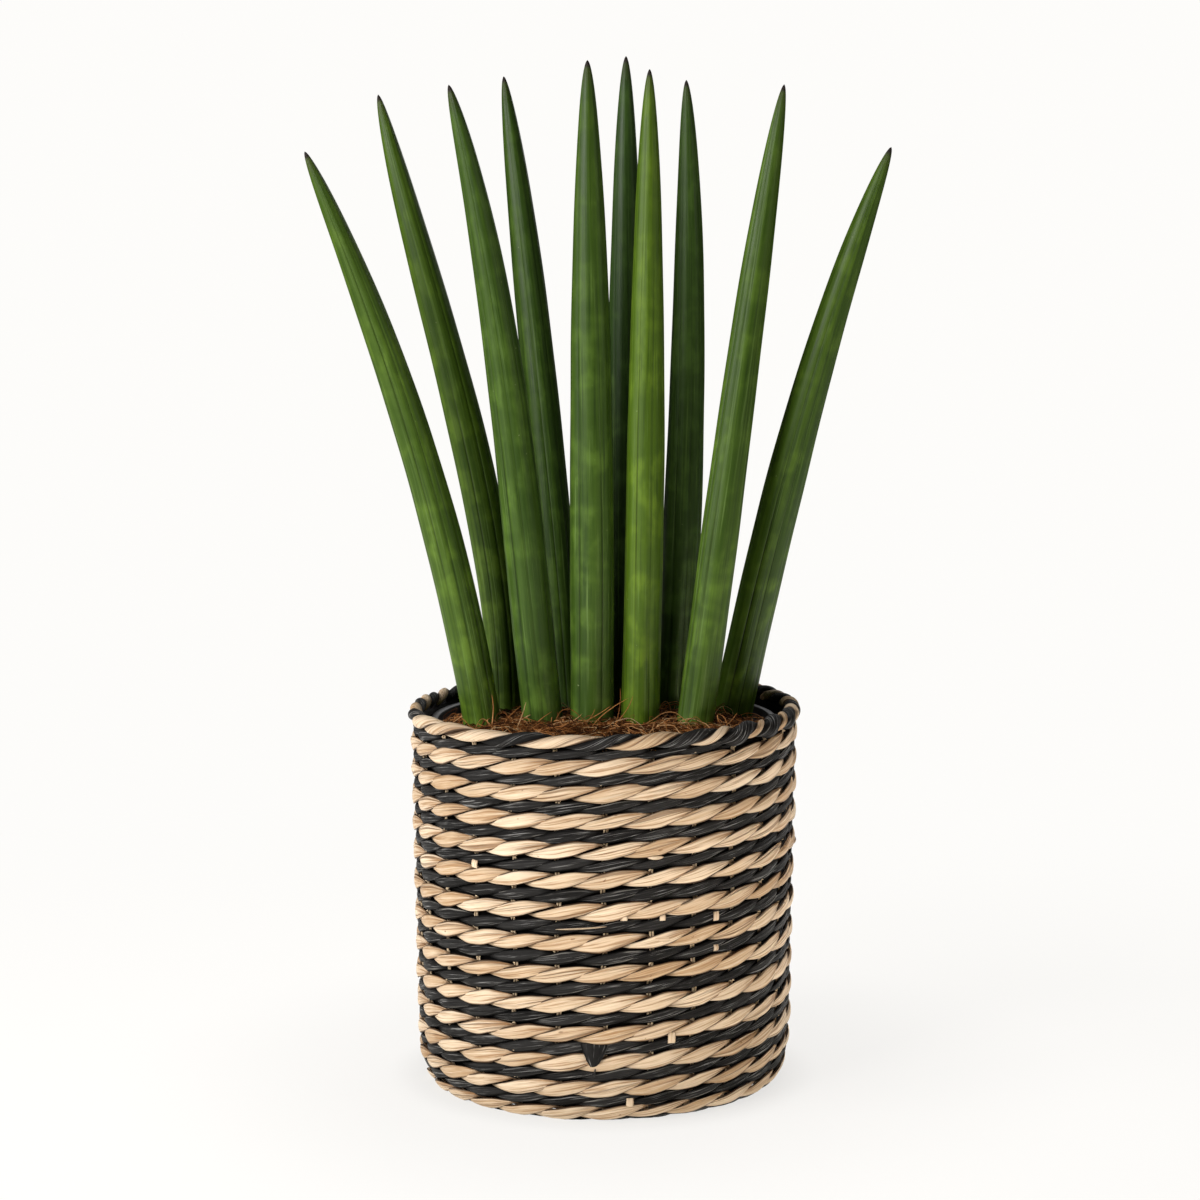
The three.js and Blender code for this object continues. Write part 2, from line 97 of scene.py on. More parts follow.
# foot x, y; tip x, y, z; bow; skew of the bow; radius; turn; how yellow; how pale. How pale is partly
# each leaf's own tone and partly painted light and shade: leaves 4 and 6 are darker as painted shade, and
# leaf 8 is paler as painted light.
LEAVES = [
    (-67.9, -25, -162.6, -37, 524, 11.4, 0.0, 10.9, 0.30, 0.62, 0.62),
    (-55, 8, -127, 26, 556.6, 10.0, -0.7, 10.8, 1.10, 0.70, 0.50),
    (-33.6, -30, -84, -41, 559.6, 7.0, 0.6, 11.3, 0.10, 0.30, 0.52),
    (-21, 18, -57, 48, 567.6, 3.0, 0.2, 10.8, 0.70, 0.30, -0.10),
    (-6.5, -31, -9, -36, 573, 0.7, 0.0, 12.1, 0.20, 0.40, 0.50),
    (12, 3, 12.3, 14, 577.4, 0.0, 0.0, 10.8, 0.90, 0.00, -0.40),
    (20, -31, 24.6, -41, 568, 1.0, -0.4, 10.5, 0.45, 1.00, 0.85),
    (39.8, 16, 46.2, 22, 564.6, 4.0, 0.3, 10.8, 0.15, 0.10, 0.80),
    (50.3, -34, 97.6, -37, 560, -1.3, 0.8, 10.4, 0.60, 0.50, 0.60),
    (72.5, 8, 157, -26, 526.6, -7.0, 0.3, 11.4, 0.35, 0.60, 0.40),
]


# --- Meshes -----------------------------------------------------------------------------------------
def smooth_step(low, high, x):
    """0 below low, 1 above high, and the cubic 3t^2 - 2t^3 between."""
    t = np.clip((x - low) / (high - low), 0, 1)
    return t * t * (3 - 2 * t)


def tubes(rings, closed=False):
    """Points, quads and triangles of the tubes through rings[tube, ring, corner]. Each ring runs
    anticlockwise seen from the end it leads to. Open tubes get a fan at each end."""
    count, length, sides = rings.shape[:3]
    n, k, i = np.ogrid[:count, :length if closed else length - 1, :sides]

    def at(ring, corner):
        return (n * length + ring % length) * sides + corner % sides

    quads = np.stack([at(k, i), at(k, i + 1), at(k + 1, i + 1), at(k + 1, i)], -1).reshape(-1, 4)
    points = rings.reshape(-1, 3)
    if closed:
        return points, quads, np.empty((0, 3), int)
    middles = rings[:, [0, -1]].mean(2)
    first = len(points) + 2 * n
    last = first + 1
    start = np.stack(np.broadcast_arrays(first, at(0, i + 1), at(0, i)), -1).reshape(-1, 3)
    end = np.stack(np.broadcast_arrays(last, at(length - 1, i), at(length - 1, i + 1)), -1).reshape(-1, 3)
    return np.concatenate([points, middles.reshape(-1, 3)]), quads, np.concatenate([start, end])


def tube_map(along, around, closed=False):
    """UV of every face corner of tubes(): along[tube, ring] and around[corner], which has one value
    more than the ring has corners. A closed tube's along has one value more than it has rings."""
    grid = np.stack(np.broadcast_arrays(along[:, :, None], around[None, None, :]), -1)
    low, high = grid[:, :-1], grid[:, 1:]
    quads = np.stack([low[:, :, :-1], low[:, :, 1:], high[:, :, 1:], high[:, :, :-1]], -2)
    if closed:
        return quads.reshape(-1, 2)
    first, last = grid[:, 0], grid[:, -1]
    start = np.stack([first[:, :-1], first[:, 1:], first[:, :-1]], -2)
    end = np.stack([last[:, :-1], last[:, :-1], last[:, 1:]], -2)
    return np.concatenate([part.reshape(-1, 2) for part in (quads, start, end)])


def on_tube(values, sides):
    """A value for every point of tubes(), from values[tube, ring] or values[tube, ring, corner]."""
    if values.shape[2:3] != (sides,):
        values = np.repeat(values[:, :, None], sides, 2)
    ends = values[:, [0, -1], 0]
    tail = values.shape[3:]
    return np.concatenate([values.reshape(-1, *tail), ends.reshape(-1, *tail)])


def make_piece(name, shape, finish, nodes, uv=None, values=None):
    """A smooth mesh piece from shape = points, quads, triangles; values holds attributes by name."""
    points, quads, triangles = shape
    mesh = bpy.data.meshes.new(name)
    corners = np.concatenate([quads.ravel(), triangles.ravel()])
    sizes = np.concatenate([np.full(len(quads), 4), np.full(len(triangles), 3)])
    mesh.vertices.add(len(points))
    mesh.vertices.foreach_set("co", (points * MM).ravel())
    mesh.loops.add(len(corners))
    mesh.loops.foreach_set("vertex_index", corners.astype(np.int32))
    mesh.polygons.add(len(sizes))
    mesh.polygons.foreach_set("loop_start", (np.cumsum(sizes) - sizes).astype(np.int32))
    mesh.update(calc_edges=True)
    mesh.shade_smooth()
    if uv is not None:
        mesh.uv_layers.new(name="lay").data.foreach_set("uv", uv.ravel())
    for key, value in (values or {}).items():
        vector = value.ndim == 2
        layer = mesh.attributes.new(key, "FLOAT_VECTOR" if vector else "FLOAT", "POINT")
        layer.data.foreach_set("vector" if vector else "value", value.ravel().astype(np.float32))
    mesh.materials.append(finish)
    piece = bpy.data.objects.new(name, mesh)
    bpy.context.scene.collection.objects.link(piece)
    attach(piece, "root")
    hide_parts(*nodes)


# --- Finishes ---------------------------------------------------------------------------------------
class Wire:
    """A socket of a material's node tree. Arithmetic on it adds Math nodes."""

    def __init__(self, tree, socket=None):
        self.tree = tree
        self.socket = socket

    def node(self, kind, settings=None, sockets=None, out=0):
        """A new node: its settings first, "stops" being a ramp's, then its sockets' values or links."""
        node = self.tree.nodes.new(kind)
        for key, value in (settings or {}).items():
            if key == "stops":
                ramp = node.color_ramp
                while len(ramp.elements) < len(value):
                    ramp.elements.new(0.5)
                for element, (place, color) in zip(ramp.elements, value):
                    element.position = place
                    element.color = (*color, 1)
            else:
                setattr(node, key, value)
        for key, value in (sockets or {}).items():
            if isinstance(value, Wire):
                self.tree.links.new(value.socket, node.inputs[key])
            else:
                node.inputs[key].default_value = value
        return Wire(self.tree, node.outputs[out])

    def math(self, operation, *values):
        return self.node("ShaderNodeMath", {"operation": operation}, dict(enumerate(values)))

    def __add__(self, other):
        return self.math("ADD", self, other)

    def __radd__(self, other):
        return self.math("ADD", other, self)

    def __sub__(self, other):
        return self.math("SUBTRACT", self, other)

    def __rsub__(self, other):
        return self.math("SUBTRACT", other, self)

    def __mul__(self, other):
        return self.math("MULTIPLY", self, other)

    def __rmul__(self, other):
        return self.math("MULTIPLY", other, self)

    def __pow__(self, other):
        return self.math("POWER", self, other)

    def between(self, low, high):
        """0 where the value is low, 1 where it is high, smooth between; low may be the larger."""
        return self.node("ShaderNodeMapRange", {"interpolation_type": "SMOOTHSTEP"},
                         {"Value": self, "From Min": low, "From Max": high})

    def stretched(self, x, y, z):
        return self.node("ShaderNodeVectorMath", {"operation": "MULTIPLY"}, {0: self, 1: (x, y, z)})

    def noise(self, scale, detail=2.0, roughness=0.5, distortion=0.0):
        """Noise at this wire's vector."""
        return self.node("ShaderNodeTexNoise", {}, {
            "Vector": self, "Scale": scale, "Detail": detail, "Roughness": roughness,
            "Distortion": distortion})

    def own_place(self):
        """The point in the piece's own coordinates, in metres."""
        return self.node("ShaderNodeTexCoord", {}, {}, 3)

    def xyz(self):
        parts = self.node("ShaderNodeSeparateXYZ", {}, {0: self})
        node = parts.socket.node
        return [Wire(self.tree, node.outputs[k]) for k in range(3)]

    def vector(self, x, y, z):
        return self.node("ShaderNodeCombineXYZ", {}, {0: x, 1: y, 2: z})

    def blend(self, a, b):
        """Colour a where this wire is 0, b where it is 1."""
        pair = {6: a if isinstance(a, Wire) else (*a, 1), 7: b if isinstance(b, Wire) else (*b, 1)}
        return self.node("ShaderNodeMix", {"data_type": "RGBA"}, {0: self, **pair}, 2)

    def attribute(self, name, out=2):
        """out 0 is colour, 1 the vector, 2 the single value."""
        return self.node("ShaderNodeAttribute", {"attribute_name": name}, {}, out)


def new_finish(name, constants):
    """A material with a Principled shader whose constant sockets are set, and a wire to build with."""
    material = bpy.data.materials.new(name)
    material.use_nodes = True
    tree = material.node_tree
    shader = tree.nodes["Principled BSDF"]
    for key, value in constants.items():
        shader.inputs[key].default_value = value
    return material, Wire(tree), shader


def connect(wire, shader, color, roughness, height, bump, distance):
    """Links colour, roughness and a bump height, in shares of distance in metres, to the shader."""
    relief = wire.node("ShaderNodeBump", {}, {"Height": height, "Strength": bump, "Distance": distance})
    for key, value in {"Base Color": color, "Roughness": roughness, "Normal": relief}.items():
        wire.tree.links.new(value.socket, shader.inputs[key])


def leaf_finish():
    """Waxy leaf skin. The attribute "lie" is a point on the leaf rolled out in millimetres, "run" holds
    the distance from the foot, the distance from the tip and how yellow the leaf is, and "pale" how
    pale. The UV map's second number counts ribs, so grooves lie at its whole numbers."""
    material, wire, shader = new_finish("snake_leaf", {"Specular IOR Level": 0.30, "IOR": 1.45})
    lie = wire.attribute("lie", 1)
    from_foot, from_tip, yellow = wire.attribute("run", 1).xyz()
    pale = wire.attribute("pale")
    ribs = wire.node("ShaderNodeUVMap", {"uv_map": "lay"}).xyz()[1]
    middle = ribs.math("FRACT", ribs) - 0.5
    to_groove = 0.5 - middle.math("ABSOLUTE", middle)

    bands = lie.stretched(0.75, 0.75, 1).noise(0.055, 2, 0.45, 0.4).between(0.40, 0.64)
    blotches = lie.stretched(1, 1, 0.45).noise(0.13, 3, 0.55).between(0.38, 0.66)
    panels = lie.stretched(1, 1, 0.006).noise(0.15, 1).between(0.36, 0.64)
    streaks = lie.stretched(1, 1, 0.012).noise(1.15, 3, 0.62)
    wide_streaks = lie.stretched(1, 1, 0.018).noise(0.42, 2, 0.5)
    lower = from_foot.between(300, 30)

    deep = yellow.blend((0.020, 0.048, 0.005), (0.044, 0.088, 0.003))
    fresh = yellow.blend((0.062, 0.124, 0.018), (0.118, 0.198, 0.010))
    # pale, drawn for each leaf, is partly the leaf's own tone and partly painted light and shade.
    strength = bands * blotches * (0.30 + lower * 0.45) + bands * 0.10 + blotches * 0.10 + panels * 0.18 \
        + pale * 0.30 + (wide_streaks - 0.5) * 0.9 - 0.10
    color = strength.blend(deep, fresh)
    color = (streaks.between(0.55, 0.74) * (0.25 + lower * 0.65)).blend(color, (0.125, 0.200, 0.045))
    color = (streaks.between(0.48, 0.27) * 0.55).blend(color, (0.009, 0.022, 0.004))

    uneven = lie.stretched(1, 1, 0.03).noise(0.25, 1).between(0.36, 0.62)
    groove = to_groove.between(0.075, 0.0) * (0.15 + from_foot.between(330, 60) * 0.7) \
        * (0.25 + uneven * 0.75)
    color = (groove * 0.85).blend(color, (0.010, 0.016, 0.003))
    specks = lie.noise(0.55, 1).between(0.80, 0.85)
    color = (specks * 0.7).blend(color, (0.30, 0.36, 0.16))
    color = (from_tip.between(18, 3) * 0.4).blend(color, (0.045, 0.038, 0.012))
    tip = from_tip.between(5, 2.2)
    color = tip.blend(color, (0.020, 0.013, 0.010))

    roughness = 0.43 + (streaks - 0.5) * 0.3 + blotches * 0.06 + tip * 0.2
    height = streaks * 0.5 + wide_streaks * 0.5 + lie.noise(1.4, 2) * 0.14 - groove * 1.2
    connect(wire, shader, color, roughness, height, 0.55, 0.0005)
    return material


def rush_finish(name, dyed):
    """Twisted rush. The UV map is in centimetres: along the ply, and round it. The attribute "tone" is
    a draw for each grain. "grain" holds 1 at the front to -1 at the back, -1 to 1 from a grain's lower
    point to its upper one, and how near the ply's edge the point is."""
    material, wire, shader = new_finish(name, {"Specular IOR Level": 0.11 if dyed else 0.14})
    tone = wire.attribute("tone")
    front, length, edge = wire.attribute("grain", 1).xyz()
    along, around, _ = wire.node("ShaderNodeUVMap", {"uv_map": "lay"}).xyz()
    fine = wire.vector(along * 0.45, around * 13, tone * 37).noise(1.0, 3, 0.65)
    fibre = wire.vector(along * 0.30, around * 7.5, tone * 61).noise(1.0, 3, 0.6)
    broad = wire.vector(along * 0.55, around * 2.4, tone * 53).noise(1.0, 2, 0.5)
    patch = wire.vector(along * 0.9, around * 1.3, tone * 91).noise(1.0, 2, 0.5)
    folds = wire.vector(along * 0.12, around * 4.5, tone * 17).noise(1.0, 1, 0.4).between(0.62, 0.70)
    if dyed:
        light = fibre * 0.9 + tone * 0.6 - 0.25
        color = light.blend((0.0030, 0.0024, 0.0020), (0.0250, 0.0236, 0.0226))
        # Painted highlight: pale glints along the fibres stand in for light on the dyed rush's sheen.
        painted_glints = fine.between(0.52, 0.64) * (0.10 + broad.between(0.46, 0.60) * 0.90)
        color = painted_glints.blend(color, (0.240, 0.232, 0.222))
        # Painted shade: the ply's edges go near black, where plies meet and tuck under each other.
        color = (edge.between(0.62, 0.88) * 0.92).blend(color, (0.0012, 0.0008, 0.0006))
        # Painted highlight: a thin pale line a little in from the edges, where light catches them.
        color = (edge.between(0.50, 0.66) * edge.between(0.82, 0.70) * fibre.between(0.56, 0.66)).blend(
            color, (0.24, 0.225, 0.20))
        # Painted shade: darker where the ply turns in behind the row.
        color = (front.between(0.10, -0.75) * 0.85).blend(color, (0.0015, 0.0010, 0.0008))
        roughness = 0.48 + broad * 0.25 + (0.5 - fine) * 0.4
    else:
        light = broad * 0.5 + patch * 0.5 + tone * 0.9 - 0.45
        color = light.blend((0.47, 0.300, 0.160), (0.79, 0.622, 0.443))
        # Pale fine streaks: partly paler fibres, partly painted highlight.
        color = (fine.between(0.52, 0.64) * 0.32).blend(color, (0.86, 0.73, 0.56))
        color = (fibre.between(0.50, 0.36) * 0.80).blend(color, (0.35, 0.195, 0.090))
        # Pale fibre streaks: partly paler fibres, partly painted highlight.
        color = (fibre.between(0.54, 0.66) * 0.36).blend(color, (0.86, 0.72, 0.54))
        color = (folds * 0.65).blend(color, (0.17, 0.085, 0.035))
        upper = length.between(0.05, 0.85)
        streaky = 0.25 + fibre.between(0.56, 0.42) * 0.75
        color = (upper * streaky * (0.50 + tone * 0.45)).blend(color, (0.30, 0.150, 0.060))
        lines = wire.vector(along * 0.25, around * 9, tone * 29).noise(1.0, 2, 0.55).between(0.56, 0.66)
        color = (lines * (0.20 + upper * 0.66)).blend(color, (0.12, 0.056, 0.024))
        # Partly a dark crease, partly painted shade: the ply's edges go dark brown where plies meet.
        color = (edge.between(0.77, 0.94) * 0.94).blend(color, (0.042, 0.018, 0.007))
        # Painted shade: darker where the ply turns in behind the row.
        color = (front.between(-0.45, -0.95) * 0.85).blend(color, (0.05, 0.024, 0.010))
        spots = wire.vector(along * 2.2, around * 3.2, tone * 71).noise(1.0, 1).between(0.75, 0.80)
        color = (spots * 0.7).blend(color, (0.18, 0.08, 0.032))
        roughness = 0.56 + (0.5 - fine) * 0.3
    height = fine * 0.5 + fibre * 0.8 + broad * 0.7 - folds * 0.8
    connect(wire, shader, color, roughness, height, 0.9, 0.0009)
    return material


def stake_finish():
    """Pale split stakes, streaked up and down."""
    material, wire, shader = new_finish("stake_cane", {"Specular IOR Level": 0.35})
    place = wire.own_place()
    grain = place.stretched(1, 1, 0.06).noise(1900, 3, 0.6)
    blotch = place.noise(190, 2)
    color = (blotch * 0.6 + grain * 0.6 - 0.1).blend((0.42, 0.27, 0.14), (0.86, 0.70, 0.48))
    connect(wire, shader, color, 0.5 + grain * 0.2, grain, 0.5, 0.0003)
    return material


def coir_finish():
    """Coconut fibre. "tone" is a draw for each fibre: most are rust brown, the highest are straw."""
    material, wire, shader = new_finish("coir_fibre", {"Specular IOR Level": 0.12})
    tone = wire.attribute("tone")
    place = wire.own_place()
    speckle = place.noise(900, 3, 0.6)
    color = wire.node("ShaderNodeValToRGB", {"stops": [
        (0.0, (0.006, 0.002, 0.0008)), (0.30, (0.060, 0.018, 0.004)), (0.62, (0.24, 0.087, 0.021)),
        (0.85, (0.54, 0.225, 0.072)), (1.0, (0.68, 0.47, 0.25))]}, {0: tone + (speckle - 0.5) * 0.35})
    connect(wire, shader, color, 0.6 + speckle * 0.25, speckle, 0.6, 0.0004)
    return material


def pot_finish():
    """Moulded black plastic with a fine grain and a little dust."""
    material, wire, shader = new_finish("pot_plastic", {"Specular IOR Level": 0.5})
    place = wire.own_place()
    dust = place.noise(160, 4, 0.6)
    grain = place.noise(2600, 2)
    color = dust.between(0.5, 0.8).blend((0.008, 0.008, 0.009), (0.026, 0.024, 0.022))
    connect(wire, shader, color, 0.34 + dust * 0.22, grain + dust * 0.5, 0.35, 0.0002)
    return material


def earth_finish(name, dark, light, scale, depth):
    """Crumbly or fleshy matter from two noises over Object coordinates."""
    material, wire, shader = new_finish(name, {"Specular IOR Level": 0.2})
    place = wire.own_place()
    crumb = place.noise(scale, 5, 0.65)
    grain = place.noise(scale * 4, 3, 0.6)
    color = (crumb * 0.8 + grain * 0.4 - 0.1).blend(dark, light)
    connect(wire, shader, color, 0.75 + grain * 0.2, crumb + grain * 0.4, 1.0, depth)
    return material


LEAF_SKIN = leaf_finish()
NATURAL_RUSH = rush_finish("natural_rush", False)
BLACK_RUSH = rush_finish("black_rush", True)
STAKE_CANE = stake_finish()
COIR_FIBRE = coir_finish()
POT_PLASTIC = pot_finish()
POTTING_SOIL = earth_finish("potting_soil", (0.012, 0.007, 0.004), (0.075, 0.048, 0.03), 220, 0.002)
ROOTSTOCK = earth_finish("rootstock", (0.30, 0.14, 0.05), (0.66, 0.42, 0.20), 90, 0.0006)


# --- Leaves -----------------------------------------------------------------------------------------
def leaf_axis(leaf, t):
    """The centre line: straight from foot to tip, plus a bow 4t(1-t) to the side, skewed along it."""
    foot_x, foot_y, tip_x, tip_y, tip_z, bow, skew = leaf[:7]
    bulge = bow * 4 * t * (1 - t) * (1 + skew * (2 * t - 1))
    return np.stack([foot_x + (tip_x - foot_x) * t + bulge, foot_y + (tip_y - foot_y) * t,
                     LEAF_FOOT_Z + (tip_z - LEAF_FOOT_Z) * t], -1)


def grow_leaf(number, leaf):
    """A leaf is a round section carried along its axis. The radius falls to the tip as
    (1-(1-d)^2)^0.54, with d the distance from the tip over 268 mm. Eight grooves at uneven spacing
    are cut in it, as bells of the rib count, and the section is flattened a little between them. Two
    slow waves along the leaf swell and thin it."""
    radius, turn, yellow, pale = leaf[7:]
    draw = np.random.default_rng(100 + number)
    rows, sides = 104, 10 * RIBS
    q = np.linspace(0, 1, rows)
    t = BURIED + (1 - BURIED) * (1 - (1 - q) ** 1.3)
    length = np.linalg.norm(leaf_axis(leaf, 1.0) - leaf_axis(leaf, 0.0))
    from_tip = (1 - t) * length
    share = (1 - (1 - np.minimum(from_tip / TAPER_LENGTH, 1)) ** TAPER_POWER) ** TAPER_FULLNESS
    reach = np.maximum(radius * share, 0.5 * np.minimum(1, 0.25 + from_tip / 2.5))

    v = np.arange(sides + 1) / sides
    warp = 0.022 * np.sin(TAU * (2 * v + draw.random())) + 0.014 * np.sin(TAU * (3 * v + draw.random()))
    angle = turn + TAU * (v + warp)[None, :-1] + 0.12 * np.sin(4 * t[:, None] + draw.random() * TAU)
    rib = (v[:-1] * RIBS) % 1
    to_groove = np.minimum(rib, 1 - rib)
    depths = draw.uniform(0.4, 1.0, RIBS)[np.round(v[:-1] * RIBS).astype(int) % RIBS]
    groove = depths * np.exp(-(to_groove / 0.11) ** 2)
    fade = 0.35 + 0.65 * smooth_step(330, 40, t * length)
    section = 1 - 0.034 * groove[None] * fade[:, None] - 0.010 * np.cos(TAU * rib)[None]
    wobble = 1 + 0.010 * np.sin(TAU * (t * 2.3 + draw.random())) \
        + 0.006 * np.sin(TAU * (t * 5.1 + draw.random()))
    reach = (reach * wobble)[:, None] * section

    axis = leaf_axis(leaf, t)
    along = leaf_axis(leaf, t + 0.01) - leaf_axis(leaf, t - 0.01)
    along /= np.linalg.norm(along, axis=1, keepdims=True)
    across = np.array([1.0, 0, 0]) - along * along[:, :1]
    across /= np.linalg.norm(across, axis=1, keepdims=True)
    away = np.cross(along, across)
    rings = axis[:, None] + reach[..., None] * (
        across[:, None] * np.cos(angle)[..., None] + away[:, None] * np.sin(angle)[..., None])

    # The skin's pattern lies on a cylinder of 11 mm, whatever the leaf's own radius, from a drawn start.
    offset = draw.uniform(-900, 900, 3)
    run = t * length
    flat = np.broadcast_to(v[None, :-1] * TAU, (rows, sides))
    lie = np.stack([11 * np.cos(flat), 11 * np.sin(flat), np.broadcast_to(run[:, None], flat.shape)], -1)
    spans = np.stack([run, from_tip, np.full(rows, yellow)], -1)
    spans = np.repeat(spans[:, None], sides, 1)
    make_piece(
        f"leaf_{number:02d}_skin", tubes(rings[None]), LEAF_SKIN, [f"leaf_{number:02d}"],
        tube_map(run[None] / 100, v * RIBS),
        {"lie": on_tube((lie + offset)[None], sides), "run": on_tube(spans[None], sides),
         "pale": on_tube(np.full((1, rows), pale), sides)})


# --- Basket -----------------------------------------------------------------------------------------
CORNER_TURN = np.linspace(0, pi / 2, 61)
CORNER_R = FOOT_RADIUS + CORNER_WIDTH * np.sin(CORNER_TURN)
CORNER_Z = CORNER_HEIGHT * (1 - np.cos(CORNER_TURN))
CORNER_RUN = np.concatenate([[0], np.cumsum(np.hypot(np.diff(CORNER_R), np.diff(CORNER_Z)))])
CORNER_LENGTH = CORNER_RUN[-1]
OUTLINE_S = np.concatenate([[-FOOT_RADIUS], CORNER_RUN, [CORNER_LENGTH + RIM_HEIGHT - CORNER_HEIGHT]])
OUTLINE_R = np.concatenate([[0], CORNER_R[:-1], [WALL_LOW, WALL_TOP]])
OUTLINE_Z = np.concatenate([[0], CORNER_Z, [RIM_HEIGHT]])
LEAN_S = np.concatenate([[-FOOT_RADIUS], CORNER_RUN])
LEAN = np.concatenate([[0], np.arctan2(CORNER_HEIGHT * np.sin(CORNER_TURN),
                                       CORNER_WIDTH * np.cos(CORNER_TURN))])


def on_skin(s, angle, out=0.0, up=0.0):
    """A point near the basket's outside: s along its outline from the foot (negative under the base),
    then out square to the skin and up along it, both straight from there."""
    lean = np.interp(s, LEAN_S, LEAN)  # 0 on the flat underside, a quarter turn on the wall
    r = np.interp(s, OUTLINE_S, OUTLINE_R) + out * np.sin(lean) + up * np.cos(lean)
    z = np.interp(s, OUTLINE_S, OUTLINE_Z) - out * np.cos(lean) + up * np.sin(lean)
    return np.stack([r * np.cos(angle), r * np.sin(angle), np.maximum(z, 0)], -1)


def row_length(turn):
    """Where the natural row runs on the outline after some turns: 16.1 mm a turn, and a slow wave."""
    rise = turn - 1.5
    return FIRST_ROW + ROW_PITCH * rise - ROW_DRIFT * np.sin(TAU * rise / 12)


def black_length(turn):
    return (row_length(turn) + row_length(turn + 1)) / 2


def turn_angle(turn):
    return TAU * (turn + 0.25)


def rim_height(angle):
    return RIM_HEIGHT + RIM_LEAN * np.cos(angle)


# Twist of the weft by turns: 13 a turn from a radius of 84 mm, and fewer within it, where turns are
# shorter. The twist is counted from the foot.
PHASE_TURN = np.linspace(BASE_START - 0.2, NATURAL_TURNS + 0.1, 6000)
PHASE_RATE = TAU * TWISTS * np.clip(np.interp(row_length(PHASE_TURN), OUTLINE_S, OUTLINE_R) / 84, 0.12, 1)
PHASE = np.concatenate([[0], np.cumsum((PHASE_RATE[1:] + PHASE_RATE[:-1]) / 2 * np.diff(PHASE_TURN))])
PHASE -= np.interp(0, PHASE_TURN, PHASE)


def per_grain(draws, turns):
    """A value for each point of a ply, from its place in turns of the twist: the draw of its grain,
    eased to the next one's where the ply runs behind the row. The draws repeat."""
    grain = np.floor(turns).astype(int)
    ease = smooth_step(0.36, 0.64, turns - grain)
    return draws[grain % len(draws)] * (1 - ease) + draws[(grain + 1) % len(draws)] * ease


# Twist in degrees from the middle of a grain, and there: how far the ply's middle line has risen (or
# sunk, before the middle) and its own half height, both in half heights of the row, and how far out it
# lies in millimetres. So a grain is a leaf whose points reach over and under its neighbours.
PLY_TURN = [0, 20, 40, 60, 90, 120, 150, 165, 180]
PLY_RISE = [0, 0.12, 0.23, 0.33, 0.46, 0.55, 0.61, 0.35, 0]
PLY_HALF = [0.91, 0.88, 0.82, 0.73, 0.54, 0.34, 0.13, 0.20, 0.35]
PLY_OUT = [0.85, 0.82, 0.72, 0.52, 0.0, -0.65, -1.25, -1.9, -2.6]
PLY_SIDES = 12
PLY_ROUND = 1.9  # centimetres round a ply, and along one grain, for the rush's pattern
GRAIN_LENGTH = 4.8
STEPS_PER_TWIST = 22
GRAIN_DRAWS = 900
GRAINS_BEFORE = 200  # draws kept for the grains under the base, where the twist is counted below 0
SQUEEZE_ROOM = 3.4  # the wefts stay this far under the rim's middle


